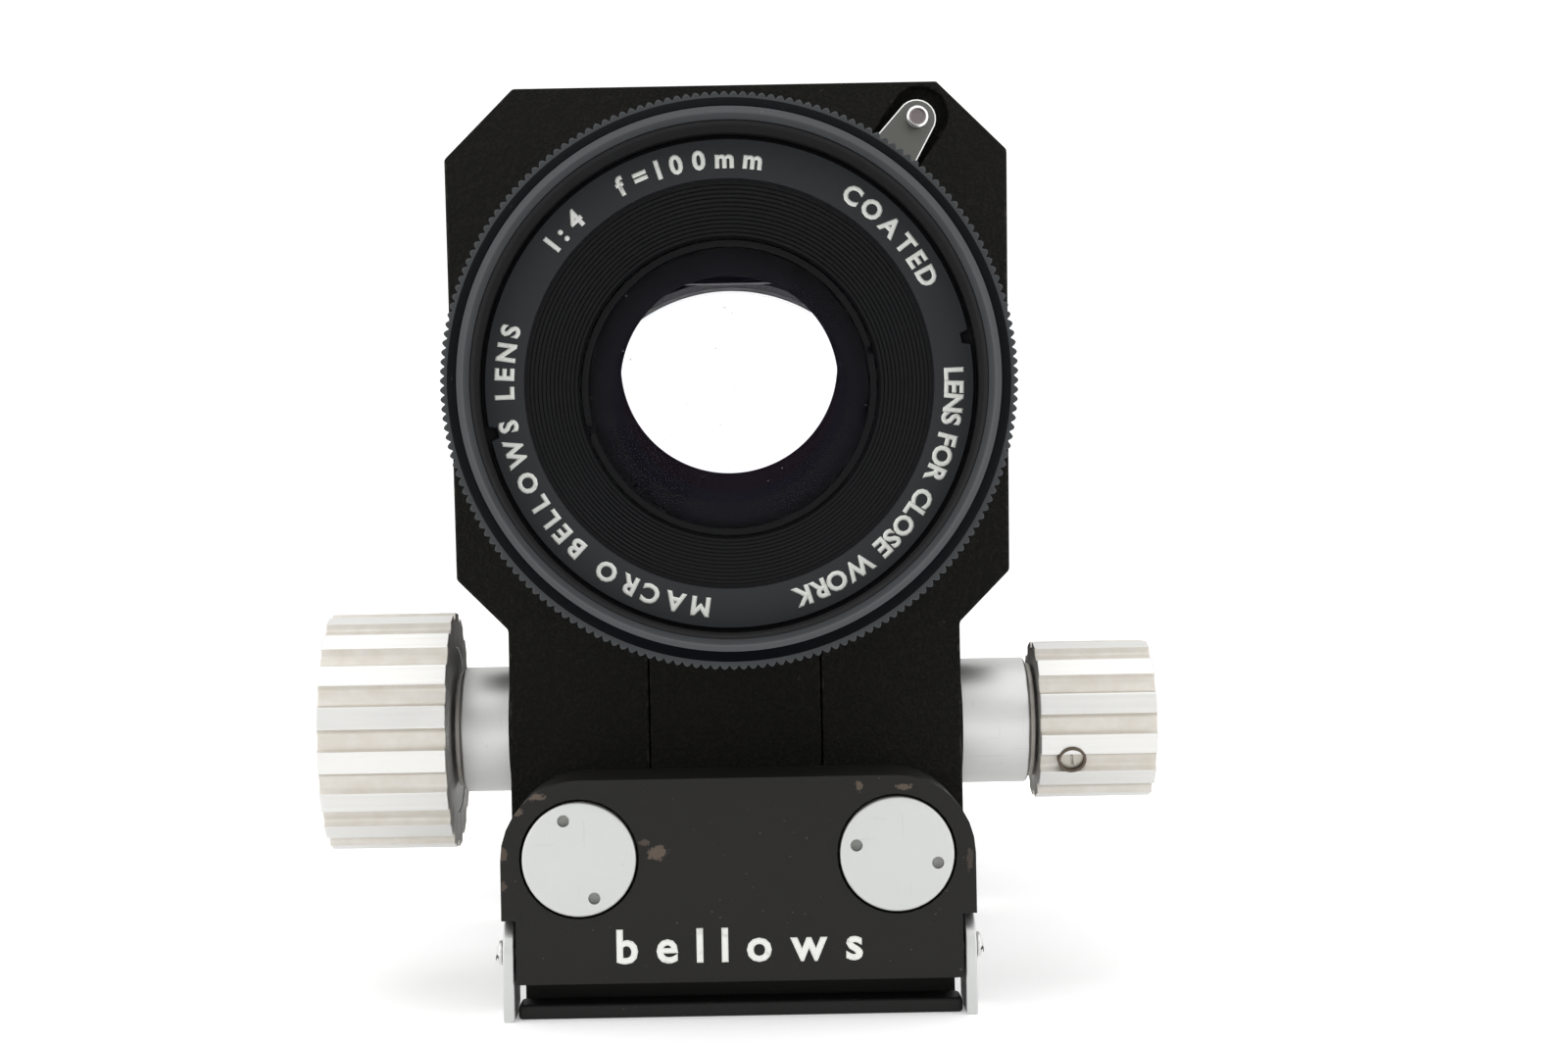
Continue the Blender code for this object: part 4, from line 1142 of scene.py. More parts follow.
    def build_aperture_ring(self, shop: Workshop) -> None:
        """The ring that sets the iris: a finely toothed front band and a smooth numbered one.

        Args:
            shop: takes the finished pieces.
        """
        low, high = self.ring_back + self.clear, self.rim_back - self.clear
        form = Form()
        form.lathe(
            filleted([
                (self.band_outer, self.knurl_back + 0.0002),
                (self.band_outer, low, 0.0003),
                (self.waist + self.clear, low),
                (self.waist + self.clear, high),
                (self.knurl_outer - self.knurl_depth - 0.0006, high, 0.0002),
                (self.knurl_outer - self.knurl_depth - 0.0002, high - 0.0004),
                (self.knurl_outer - self.knurl_depth - 0.0002, self.knurl_back + 0.0002),
            ]),
            self.flange, FRONT, self.sides,
        )
        middle = self.knurl_outer - self.knurl_depth / 2

        def reach(angle: float) -> float:
            """The toothed outline: round tips with sharp gaps."""
            wave = abs(math.sin(angle * self.knurl_teeth / 2))
            return middle + self.knurl_depth * (wave - 0.5)

        place = axes(RIGHT, UP, self.flange + FRONT * (self.knurl_back + self.clear))
        inner = around(95, lambda angle: self.waist + 0.0014)
        thick = high - self.knurl_back - 2 * self.clear
        teeth = form.plate([around(self.knurl_teeth * 6, reach), inner], place, thick)
        form.soften(0.00018, 1, 60, teeth)
        shop.fit(form, "aperture_ring_toothed", "aperture", [self.knurl_enamel],
                 ("aperture_ring",))
        numbers = Form()
        for index, text in enumerate(("4", "5.6", "8", "11", "16", "22")):
            angle = math.pi / 2 + math.radians(12 * index)
            place = self.side_place(angle, self.band_outer, low + 0.0022)
            numbers.stamp(glyph(text, 0.0028, 0.00006, 0.00002), place)
        shop.fit(numbers, "aperture_numbers", "aperture", [self.fill])

    def build_name_ring(self, shop: Workshop) -> None:
        """The flat ring round the glass, its key notches and its generic engraving.

        Args:
            shop: takes the finished pieces.
        """
        notch_half = 0.0006 / self.name_outer
        notches = (math.radians(10), math.radians(191))

        def reach(angle: float) -> float:
            """The ring's edge, let in at the two key notches."""
            inside = any(gap_between(angle, notch) < notch_half for notch in notches)
            return self.name_outer - (0.0009 if inside else 0.0)

        thick = self.name_front - self.name_seat - self.clear
        place = axes(RIGHT, UP, self.flange + FRONT * (self.name_seat + self.clear))
        form = Form()
        form.plate([around(720, reach), around(180, lambda angle: self.name_inner)], place, thick)
        form.soften(self.name_bevel, 3, 60)
        anodised = Anodised(tuple(self.flange)).make("name_ring_anodised")
        shop.fit(form, "name_ring_turned", "lens", [anodised], ("name_ring",))
        words = Form()
        for text, start, end in (
            ("1:4  f=100mm", 141.5, 80.5),
            ("COATED", 58.0, 25.0),
            ("LENS FOR CLOSE WORK", 3.0, -74.5),
            ("MACRO BELLOWS LENS", 264.0, 164.0),
        ):
            self.engrave(words, text, math.radians(start), math.radians(end))
        shop.fit(words, "name_ring_lettering", "lens", [self.fill])

    def engrave(self, words: Form, text: str, start: float, end: float) -> None:
        """Sets letters clockwise along the name ring, evenly filling a stretch of it.

        Args:
            words: the form that takes the letters.
            text: what to write.
            start: the angle where the first letter begins.
            end: the angle where the last letter ends.
        """
        letters = [
            None if sign == " " else glyph(sign, self.letter_size, LETTER_DEPTH, self.letter_weight)
            for sign in text
        ]
        spans = [(0.0, self.letter_blank) if mesh is None else breadth(mesh) for mesh in letters]
        middle = self.letter_radius + self.letter_middle
        height = self.name_front + self.letter_proud
        spare = (start - end) * middle - sum(width for _, width in spans)
        gap = spare / (len(text) - 1)
        travelled = 0.0
        for mesh, (low, width) in zip(letters, spans):
            angle = start - (travelled + width / 2) / middle
            travelled += width + gap
            if mesh is not None:
                mesh.transform(Matrix.Translation((-low - width / 2, 0, 0)))
                words.stamp(mesh, self.front_place(angle, self.letter_radius, height))

    def build_cone(self, shop: Workshop) -> None:
        """The stepped light trap inside the name ring, and the ring that holds the glass.

        Args:
            shop: takes the finished pieces.
        """
        top, foot = self.name_seat - self.clear, self.glass_seat + self.clear
        outer = self.cone_bore - self.clear
        profile = [
            (outer, top), (outer, top - 0.001),
            (self.cone_foot + 0.0009, foot), (self.cone_foot - 0.0002, foot),
        ]
        for index in range(self.cone_steps):
            share = (index + 1) / self.cone_steps
            reach = self.cone_foot + (self.name_inner - self.cone_foot) * share
            before = self.cone_foot + (self.name_inner - self.cone_foot) * index / self.cone_steps
            level = foot + (top - foot) * share
            profile.append((before + 0.00006, level - 0.00004))
            profile.append((reach - 0.00004, level + 0.00002))
        form = Form()
        form.lathe(profile, self.flange, FRONT, self.sides)
        shop.fit(form, "stepped_light_trap", "lens", [self.baffle], ("front_baffle",))
        notches = (math.radians(14), math.radians(196))

        def reach(angle: float) -> float:
            """The glass ring's edge with its two key notches."""
            inside = any(gap_between(angle, notch) < 0.03 for notch in notches)
            return self.cone_foot - 0.0003 - (0.0007 if inside else 0.0)

        place = axes(RIGHT, UP, self.flange + FRONT * (self.glass_back + 0.0032))
        holder = Form()
        inner = around(120, lambda angle: self.glass_radius - 0.0006)
        holder.plate([around(360, reach), inner], place, 0.0012)
        holder.soften(0.00015, 2, 60)
        shop.fit(holder, "glass_retaining_ring", "lens", [self.baffle])

    def build_glass(self, shop: Workshop) -> None:
        """The front glass, and the light stop behind it.

        Args:
            shop: takes the finished pieces.
        """
        bend = (self.glass_radius ** 2 + self.glass_bulge ** 2) / (2 * self.glass_bulge)
        edge = self.glass_back + self.glass_edge
        count = 24
        domed = []
        for index in range(count + 1):
            reach = self.glass_radius * index / count
            sag = bend - math.sqrt(bend * bend - reach * reach)
            domed.append((reach, edge + self.glass_bulge - sag))
        form = Form()
        domed += [(self.glass_radius, self.glass_back), (0, self.glass_back)]
        form.lathe(domed, self.flange, FRONT, self.sides)
        glass = CoatedGlass().make("coated_front_glass")
        shop.fit(form, "front_glass_polished", "lens", [glass], ("front_element",))
        self.build_stop(shop)

    def build_stop(self, shop: Workshop) -> None:
        """The stop behind the glass: an off-centre cat's-eye hole, with two thin violet and blue-grey rings
        round it that are painted reflections of the coating.

        Args:
            shop: takes the finished pieces.
        """
        wide, narrow = self.stop_wide, self.stop_narrow
        heart = Vector(((wide[0] + narrow[0]) / 2, (wide[1] + narrow[1]) / 2))

        def to_circle(angle: float, circle: tuple, grow: float) -> float:
            """How far a ray from the hole's heart runs to a circle.

            Args:
                angle: the angle about the axis, in radians.
                circle: the circle's middle and radius.
                grow: how much is added to the radius.

            Returns:
                The ray's length.
            """
            way = Vector((math.cos(angle), math.sin(angle)))
            away = heart - Vector(circle[:2])
            along = away.dot(way)
            return -along + math.sqrt(along * along + (circle[2] + grow) ** 2 - away.length_squared)

        def eye(angle: float, drop: float, grow: float) -> float:
            """The reach of the cat's eye, its lower circle moved down and grown."""
            lower = (narrow[0], narrow[1] - drop, narrow[2])
            return min(to_circle(angle, wide, grow), to_circle(angle, lower, grow))

        place = axes(RIGHT, UP, self.flange + FRONT * self.stop_height)
        # Painted reflections: the two rings round the hole take violet and blue-grey in place of the
        # coating's reflections.
        materials = [
            self.baffle,
            MatteBaffle(tuple(self.flange), (0.0105, 0.0062, 0.0088), 0.06).make("violet_painted_reflection"),
            MatteBaffle(tuple(self.flange), (0.0085, 0.009, 0.013), 0.06).make("blue_grey_painted_reflection"),
        ]
        shift = Matrix.Translation((heart.x, heart.y, 0))
        rims = (
            (lambda angle: eye(angle, 0.0, 0.0)),
            (lambda angle: eye(angle, 0.0021, 0.00008)),
            (lambda angle: eye(angle, 0.0033, 0.0011)),
            (lambda angle: to_circle(angle, (0.0, 0.0, self.stop_outer), 0.0)),
        )
        form = Form()
        for index, (inner, outer) in enumerate(zip(rims, rims[1:])):
            level = place @ shift @ Matrix.Translation((0, 0, 0.00012 * index))
            faces = form.plate([around(240, outer), around(240, inner)], level, 0.0002)
            for face in faces:
                face.material_index = (1, 2, 0)[index]
        shop.fit(form, "light_stop", "lens", materials)

    def build_rear(self, shop: Workshop) -> None:
        """The bayonet tube with its lugs, the rear glass and the iris.

        Args:
            shop: takes the finished pieces.
        """
        tube = Span.of("lens_bayonet")
        outer = tube.size.x / 2
        length = tube.size.y
        bore = 0.018
        silver = Machined(lay=Lay.ROUND_Y, centre=tuple(self.flange), roughness=0.26).make("bayonet_chrome")
        form = Form()
        form.lathe(
            filleted([
                (outer, 0), (outer, -length, 0.0004), (bore, -length, 0.0003), (bore, 0),
            ]),
            self.flange, FRONT, 128,
        )
        for index in range(3):
            self.build_lug(form, outer, math.radians(30 + 120 * index), length)
        shop.fit(form, "bayonet_with_lugs", "lens", [silver], ("lens_bayonet",))
        rear = Span.of("rear_element")
        radius = rear.size.x / 2
        back = self.flange.y - rear.high.y
        front = self.flange.y - rear.low.y
        rings = [(radius * s / 16, back + 0.0006 * (s / 16) ** 2) for s in range(17)]
        face = [(radius * (1 - s / 16), front - 0.0008 * (1 - (1 - s / 16) ** 2)) for s in range(17)]
        glass = Form()
        glass.lathe(rings + face, self.flange, FRONT, 128)
        coated = CoatedGlass().make("coated_rear_glass")
        shop.fit(glass, "rear_glass_polished", "lens", [coated], ("rear_element",))
        blade = Machined((0.05, 0.05, 0.052), (0.02, 0.02, 0.02), 0.42, dirt=0.1).make("blued_iris_steel")
        for index in range(1, 7):
            shop.dress(f"iris_blade_{index}", blade)
        shop.dress("iris_plate", self.baffle)

    def build_lug(self, form: Form, outer: float, angle: float, length: float) -> None:
        """One bayonet lug: a short raised land on the tube.

        Args:
            form: the form it is added to.
            outer: the tube's radius.
            angle: the angle about the axis, in radians.
            length: the tube's length.
        """
        points = []
        half = math.radians(16)
        for reach, sign in ((outer - 0.0004, 1), (outer + 0.00022, -1)):
            for share in range(9):
                turn = angle - sign * (half - 2 * half * share / 8)
                points.append((reach * math.cos(turn), reach * math.sin(turn)))
        place = axes(RIGHT, UP, self.flange + BACK * (length - 0.0009))
        form.plate([points], place, -0.0018)


# ------------------------------------------------------------------- standards


@dataclass
class Standards:
    """The two cast standards with what is fixed to them."""

    casting_edge: float = 0.00055
    cover_edge: float = 0.00012
    frame_edge: float = 0.0003
    sleeve_edge: float = 0.00035
    screw_inset: float = 0.0022

    def build(self, shop: Workshop) -> None:
        """Makes both standards.

        Args:
            shop: takes the finished pieces.
        """
        crinkle = CrinklePaint().make("crinkle_paint")
        satin = WornEnamel().make("clamp_frame_enamel")
        brass = Machined((0.72, 0.52, 0.24), (0.3, 0.2, 0.08), 0.3).make("lock_pad_brass")
        for end in ("front", "rear"):
            body = f"{end}_standard"
            shop.finish_node(f"{end}_standard_frame", body, crinkle, self.casting_edge, 3)
            shop.finish_node(f"{end}_bellows_frame", body, satin, self.frame_edge)
            shop.dress(f"{end}_lock_pad", brass)
        shop.finish_node("gear_cover", "front_standard", crinkle, self.cover_edge, 1)
        self.build_mount_ring(shop)
        for side in ("left", "right"):
            self.build_sleeve(shop, side)
        self.build_clamp_screws(shop)

    def build_mount_ring(self, shop: Workshop) -> None:
        """The polished ring that the lens locks into.

        Args:
            shop: takes the finished pieces.
        """
        span = Span.of("lens_mount_ring")
        inner = Span.of("lens_bayonet").size.x / 2 + 0.0003
        outer = span.size.x / 2
        centre = Vector((span.centre.x, span.high.y, span.centre.z))
        silver = Machined(lay=Lay.ROUND_Y, centre=tuple(centre), roughness=0.24).make("mount_ring_chrome")
        form = Form()
        profile = [(outer, 0), (inner, 0), (inner, span.size.y, 0.0002), (outer, span.size.y, 0.0006)]
        form.lathe(filleted(profile), centre, FRONT, 144)
        shop.fit(form, "mount_ring_polished", "front_standard", [silver], ("lens_mount_ring",))

    def build_sleeve(self, shop: Workshop, side: str) -> None:
        """A turned sleeve between the casting and a knob, with a fine step at its end.

        Args:
            shop: takes the finished pieces.
            side: "left" or "right".
        """
        node = f"front_sleeve_{side}"
        span = Span.of(node)
        way = LEFTWARD if side == "left" else RIGHT
        root = span.high.x if side == "left" else span.low.x
        centre = Vector((root, span.centre.y, span.centre.z))
        outer = span.size.z / 2
        length = span.size.x
        bore = Span.of("front_lock_spindle").size.z / 2 + 0.0003
        finish = Machined((0.66, 0.66, 0.65), (0.3, 0.25, 0.19), 0.34, Lay.ROUND_X, tuple(centre), 0.15)
        form = Form()
        form.lathe(
            filleted([
                (outer, 0), (bore, 0), (bore, length), (outer - 0.0007, length, 0.0002),
                (outer - 0.0007, length - 0.0006, 0.0001), (outer, length - 0.0008, self.sleeve_edge),
            ]),
            centre, way, 128,
        )
        # Painted shade: the faces of the fine step at the outer end are marked as grooves, so the finish
        # darkens them towards its dark tint.
        form.mark("groove", lambda spot, normal: abs(spot.x - root) > length - 0.0009)
        shop.fit(form, f"{node}_turned", "front_standard", [finish.make(f"{node}_aluminium")],
                 (node,))

    def build_clamp_screws(self, shop: Workshop) -> None:
        """Four small domed screws that hold each bellows clamp.

        Args:
            shop: takes the finished pieces.
        """
        steel = Machined((0.3, 0.3, 0.29), roughness=0.3).make("clamp_screw_steel")
        for end, way in (("front", BACK), ("rear", FRONT)):
            span = Span.of(f"{end}_bellows_frame")
            face = span.high.y if end == "front" else span.low.y
            form = Form()
            head = [(0, -0.0002), (0, 0.00018), (0.0006, 0.00025), (0.001, 0.0001), (0.001, -0.0002)]
            across = span.size.x / 2 - self.screw_inset
            rise = span.size.z / 2 - self.screw_inset
            for x in (-across, across):
                for z in (-rise, rise):
                    form.lathe(head, Vector((x, face, span.centre.z + z)), way, 24)
            shop.fit(form, f"{end}_clamp_screws", f"{end}_standard", [steel])


# -------------------------------------------------------------- release lever


@dataclass
class ReleaseLever:
    """The small steel lever that frees the lens."""

    edge: float = 0.00018
    cup: float = 0.0010

    def build(self, shop: Workshop) -> None:
        """Makes the lever and its finger pin.

        Args:
            shop: takes the finished pieces.
        """
        # Painted highlight: shine lightens every bevelled edge of the lever.
        steel = Machined((0.14, 0.14, 0.13), (0.07, 0.065, 0.055), 0.3, dirt=0.5, marks=1.6, shine=0.9)
        shop.finish_node("release_lever", "lens_release", steel.make("lever_steel"), self.edge, 2)
        span = Span.of("release_pin")
        radius = span.size.x / 2
        foot = Vector((span.centre.x, span.high.y, span.centre.z))
        height = span.size.y
        bright = Machined((0.86, 0.86, 0.85), (0.3, 0.28, 0.26), 0.12, Lay.ROUND_Y, tuple(foot), 0.1)
        dark = Machined((0.2, 0.175, 0.175), (0.08, 0.07, 0.07), 0.34, dirt=0.6, marks=2.0)
        form = Form()
        form.lathe(
            filleted([
                (radius - 0.0002, 0), (radius - 0.0002, height - 0.0009, 0.00015),
                (radius, height - 0.0007, 0.0001), (radius, height, 0.00042),
                (self.cup, height - 0.00018), (self.cup, height - 0.00034, 0.00008),
                (0, height - 0.0003), (0, 0),
            ]),
            foot, FRONT, 64,
        )
        for face in form.mesh.faces:
            away = face.calc_center_median() - foot
            flat = Vector((away.x, 0, away.z)).length
            face.material_index = int(flat < self.cup and -away.y > height / 2)
        shop.fit(form, "release_pin_cupped", "lens_release",
                 [bright.make("pin_polished_steel"), dark.make("pin_dull_centre")], ("release_pin",))


# --------------------------------------------------------------------- controls


@dataclass(frozen=True)
class Knob:
    """One grooved aluminium knob: its node, body, grooves and how deep and wide they are."""

    node: str
    body: str
    grooves: int
    side: int
    depth: float = 0.0007
    share: float = 0.46
    end_edge: float = 0.0007
    dish: float = 0.7
    dish_depth: float = 0.0007
    tint: tuple = (0.76, 0.755, 0.735)

    def reach(self, angle: float, radius: float) -> float:
        """The outline: wide lands with a narrow rounded groove between each two.

        Args:
            angle: the angle about the axis, in radians.
            radius: the knob's radius.

        Returns:
            The outline's distance from the knob's axis.
        """
        period = math.tau / self.grooves
        away = abs((angle + period / 2) % period - period / 2) / period
        inside = max(0.0, 1 - away / (self.share / 2))
        bead = max(0.0, 1 - abs(away - self.share * 0.62) / (self.share * 0.16))
        return radius - self.depth * min(1.0, 1.7 * math.sqrt(inside)) * (inside > 0) - 0.00008 * (1 - bead)

    def build(self, shop: Workshop) -> None:
        """Makes the knob.

        Args:
            shop: takes the finished pieces.
        """
        span = Span.of(self.node)
        radius = max(span.size.y, span.size.z) / 2
        inner = span.low.x if self.side > 0 else span.high.x
        centre = Vector((inner, span.centre.y, span.centre.z))
        way = RIGHT * self.side
        across = BACK if self.side > 0 else FRONT
        place = axes(across, UP, centre)
        length = span.size.x
        form = Form()
        count = self.grooves * 24
        outline = around(count, lambda angle: self.reach(angle, radius))
        dish = radius * self.dish
        form.plate([outline, around(96, lambda angle: dish)], place, length)
        form.soften(self.end_edge, 3, 60)
        # Painted shade: faces in the grooves, and the outer ring of each end face, are marked as grooves,
        # so both finishes darken them towards a warm dark tint.
        form.mark("groove", lambda spot, normal: self.in_groove(spot - centre, radius))
        floor = length - self.dish_depth
        form.lathe(
            filleted([(0, 0.0001), (dish - 0.00002, 0.0001), (dish - 0.00002, floor), (dish * 0.5, floor),
                      (dish * 0.46, floor - 0.0002, 0.0001), (0, floor - 0.0002)]),
            centre, way, 96,
        )
        # The second colour of each finish is the warm dark tint of the painted shade in the grooves.
        metal = Machined(self.tint, (0.56, 0.5, 0.41), 0.34, Lay.ALONG_X, tuple(centre), 0.22)
        turned = Machined((0.7, 0.7, 0.69), (0.4, 0.36, 0.3), 0.3, Lay.ROUND_X, tuple(centre), 0.2)
        for face in form.mesh.faces:
            face.material_index = int(abs(face.normal.x) > 0.8)
        shop.fit(form, f"{self.node}_grooved", self.body,
                 [metal.make(f"{self.node}_aluminium"), turned.make(f"{self.node}_end")], (self.node,))

    def in_groove(self, away: Vector, radius: float) -> bool:
        """Whether a point lies down in a groove of the rim."""
        flat = Vector((away.y, away.z))
        return radius * 0.8 < flat.length < radius - self.depth * 0.3


@dataclass
class Controls:
    """Knobs, shafts, pinions and the lock's set screw."""

    screw_slot: float = 0.00032
    screw_sink: float = 0.0004
    screw_tilt: float = 8.0

    def build(self, shop: Workshop) -> None:
        """Makes the controls.

        Args:
            shop: takes the finished pieces.
        """
        for knob in (
            Knob("front_drive_knob", "front_drive", 17, -1),
            Knob("front_lock_knob", "front_lock", 12, 1),
            Knob("rear_lock_knob", "rear_lock", 12, 1, 0.0006),
            Knob("tripod_drive_knob", "tripod_drive", 14, -1, 0.0006),
            Knob("tripod_lock_knob", "tripod_lock", 14, 1, 0.0006),
        ):
            knob.build(shop)
        steel = Machined((0.6, 0.6, 0.6), roughness=0.25, lay=Lay.ALONG_X, dirt=0.3).make("shaft_steel")
        for node in ("front_drive_shaft", "front_lock_spindle", "rear_lock_spindle",
                     "tripod_drive_shaft", "tripod_lock_spindle"):
            shop.dress(node, steel)
        brass = Machined((0.74, 0.54, 0.26), (0.3, 0.2, 0.08), 0.28, Lay.ALONG_X).make("pinion_brass")
        for node, body in (("front_pinion", "front_drive"), ("tripod_pinion", "tripod_drive")):
            shop.finish_node(node, body, brass, 0.00008, 1)
        self.build_set_screw(shop)

    def build_set_screw(self, shop: Workshop) -> None:
        """The slotted set screw in the lock knob's rim, with a dark brown ring round it: painted shade of
        the gap round the screw, tinted like grime.

        Args:
            shop: takes the finished pieces.
        """
        span = Span.of("lock_set_screw")
        knob = Span.of("front_lock_knob")
        axis = Vector((span.centre.x, knob.centre.y, knob.centre.z))
        out = (span.centre - axis).normalized()
        top = axis + out * (knob.size.z / 2 - self.screw_sink)
        steel = Machined((0.52, 0.49, 0.43), (0.16, 0.12, 0.07), 0.32, dirt=0.5, marks=1.5)
        grime_and_shade = Machined((0.11, 0.085, 0.06), (0.03, 0.02, 0.012), 0.6, dirt=0.9, metallic=0.2)
        form = Form()
        half = self.screw_slot / 2
        radius = span.size.x / 2 - 0.0001
        tilt = Matrix.Rotation(math.radians(self.screw_tilt), 3, out)
        across, up = tilt @ RIGHT, tilt @ out.cross(RIGHT)
        for sign in (-1, 1):
            arc = [
                (radius * math.cos(a), radius * math.sin(a))
                for a in (math.acos(half / radius) * (1 - share / 12) for share in range(25))
            ]
            points = [(sign * x, z) for x, z in arc]
            place = axes(across, up, top - out * 0.0014)
            form.plate([points], place, 0.0014)
        form.plate([around(48, lambda angle: radius)], axes(across, up, top - out * 0.0026), 0.0019)
        form.soften(0.00008, 1, 60)
        shop.fit(form, "set_screw_slotted", "front_lock",
                 [steel.make("set_screw_steel")], ("lock_set_screw",))
        # Painted shade: a dark brown ring laid flush round the screw where the gap would be.
        gap_shade_ring = Form()
        place = axes(across, up, top - out * 0.0008)
        outer = radius + 0.00034
        loops = [around(64, lambda angle: outer), around(64, lambda angle: radius + 0.00002)]
        gap_shade_ring.plate(loops, place, 0.0008 + self.screw_sink + 0.00006)
        shop.fit(gap_shade_ring, "set_screw_gap_shade_ring", "front_lock", [grime_and_shade.make("set_screw_gap_shade")])


# ------------------------------------------------------------------------- rail


@dataclass
class Rail:
    """The twin-rod rail: end plates, caps, rods, the rack bar and generic lettering."""

    plate_edge: float = 0.0005
    lip: float = 0.0038
    cap_edge: float = 0.00025
    hole_offset: float = 0.0048
    hole_radius: float = 0.0007
    cap_turns: tuple = (("left", 111.0), ("right", 167.0))
    word_width: float = 0.0284
    word_size: float = 0.0054
    word_weight: float = 0.00014
    word_rise: float = 0.0024

    def chips(self, plate: Span) -> tuple:
        """Bare spots of the front plate, measured from its corners and caps.

        Args:
            plate: the room that the plate has.

        Returns:
            Each bare spot as a place, its half sizes and how bare it is.
        """
        front = plate.low.y
        top = plate.high.z
        left, right = plate.low.x, plate.high.x
        middle = (plate.low.z + self.lip + top) / 2
        return (
            ((left + 0.0042, front, top - 0.0018), (0.0016, 0.003, 0.0005), 0.9),
            ((left + 0.0022, front, top - 0.0035), (0.0008, 0.003, 0.0007), 0.7),
            ((right - 0.0134, front, top - 0.0013), (0.0006, 0.003, 0.0007), 0.8),
            ((right - 0.0082, front, top - 0.0014), (0.0011, 0.003, 0.0005), 0.8),
            ((left + 0.0181, front, middle + 0.0033), (0.0016, 0.002, 0.0011), 0.85),
            ((left + 0.0166, front, middle + 0.0045), (0.0009, 0.002, 0.0005), 0.5),
            ((left + 0.0004, front, middle + 0.0032), (0.0006, 0.003, 0.0012), 0.6),
            ((left + 0.0004, front, middle - 0.0004), (0.0005, 0.003, 0.0009), 0.5),
            ((right - 0.0007, front, middle + 0.0018), (0.0005, 0.003, 0.0016), 0.35),
        )

    def build(self, shop: Workshop) -> None:
        """Makes the rail.

        Args:
            shop: takes the finished pieces.
        """
        front = Span.of("front_end_plate")
        worn = WornEnamel(self.chips(front)).make("front_plate_enamel")
        shop.finish_node("front_end_plate", "rail", worn, self.plate_edge, 3)
        plain = WornEnamel().make("rear_plate_enamel")
        shop.finish_node("rear_end_plate", "rail", plain, self.plate_edge, 3)
        for end, way in (("front", FRONT), ("rear", BACK)):
            for side, turn in self.cap_turns:
                self.build_cap(shop, end, way, side, math.radians(turn))
        for side in ("left", "right"):
            self.build_rod(shop, side)
        steel = Machined((0.5, 0.5, 0.49), roughness=0.3, lay=Lay.ALONG_Y, dirt=0.35).make("rack_steel")
        shop.finish_node("rack_bar", "rail", steel, 0.00012, 1)
        self.build_lettering(shop, front)
        self.build_scale(shop)

    def build_cap(self, shop: Workshop, end: str, way: Vector, side: str, turn: float) -> None:
        """A round cap with two key holes.

        Args:
            shop: takes the piece.
            end: which end plate it is in.
            way: the way its face looks.
            side: which rod it covers.
            turn: the angle of its first key hole.
        """
        node = f"{end}_rod_cap_{side}"
        span = Span.of(node)
        radius = span.size.x / 2
        across = RIGHT if way == FRONT else -RIGHT
        base = Vector((span.centre.x, span.high.y if way == FRONT else span.low.y, span.centre.z))
        floor = 0.0011
        rim = radius - 2 * self.cap_edge
        loops = [around(128, lambda angle: rim)]
        for angle in (turn, turn + math.pi):
            hole = around(24, lambda angle: self.hole_radius)
            spot = (self.hole_offset * math.cos(angle), self.hole_offset * math.sin(angle))
            loops.append([(x + spot[0], z + spot[1]) for x, z in hole])
        form = Form()
        form.plate(loops, axes(across, UP, base + way * (span.size.y - floor)), floor)
        ring = [
            (rim, 0), (radius, 0), (radius, span.size.y, self.cap_edge), (rim, span.size.y),
        ]
        form.lathe(filleted(ring), base, way)
        form.plate([around(128, lambda angle: rim)], axes(across, UP, base), span.size.y - floor - 0.00002)
        # Painted shade: faces set back from the cap's front, the key holes' walls and floors and the ring's
        # side, are marked as grooves, so the finish darkens them.
        form.mark("groove", lambda spot, normal: (spot - base).dot(way) < span.size.y - 0.0004)
        finish = Machined(
            (0.63, 0.64, 0.625), (0.3, 0.3, 0.27), 0.42, Lay.SCRATCHED, tuple(span.centre), 0.3,
        )
        shop.fit(form, f"{node}_drilled", "rail", [finish.make(f"{node}_aluminium")], (node,))

    def build_rod(self, shop: Workshop, side: str) -> None:
        """A ground steel rod with chamfered ends.

        Args:
            shop: takes the finished pieces.
            side: "left" or "right".
        """
        node = f"rod_{side}"
        span = Span.of(node)
        radius = span.size.x / 2
        centre = Vector((span.centre.x, span.high.y, span.centre.z))
        form = Form()
        form.lathe(
            filleted([(0, 0), (radius, 0, 0.0005), (radius, span.size.y, 0.0005), (0, span.size.y)]),
            centre, FRONT, 96,
        )
        finish = Machined(
            (0.78, 0.78, 0.775), roughness=0.2, lay=Lay.ROUND_Y, centre=tuple(centre), dirt=0.12,
        )
        shop.fit(form, f"{node}_ground", "rail", [finish.make(f"{node}_chrome")], (node,))

    def build_lettering(self, shop: Workshop, plate: Span) -> None:
        """One plain word low on the front plate, in painted small letters.

        Args:
            shop: takes the finished pieces.
            plate: the room that the plate has.
        """
        fill = EngravingFill().make("plate_lettering_white")
        form = Form()
        letters = [glyph(sign, self.word_size, LETTER_DEPTH, self.word_weight) for sign in "bellows"]
        spans = [breadth(mesh) for mesh in letters]
        gap = (self.word_width - sum(width for _, width in spans)) / (len(letters) - 1)
        face = plate.low.y - 0.00001
        foot = plate.low.z + self.lip + self.word_rise
        x = plate.centre.x - self.word_width / 2
        for mesh, (low, width) in zip(letters, spans):
            mesh.transform(Matrix.Translation((-low, 0, 0)))
            form.stamp(mesh, axes(RIGHT, UP, Vector((x, face, foot))))
            x += width + gap
        shop.fit(form, "front_plate_lettering", "rail", [fill])

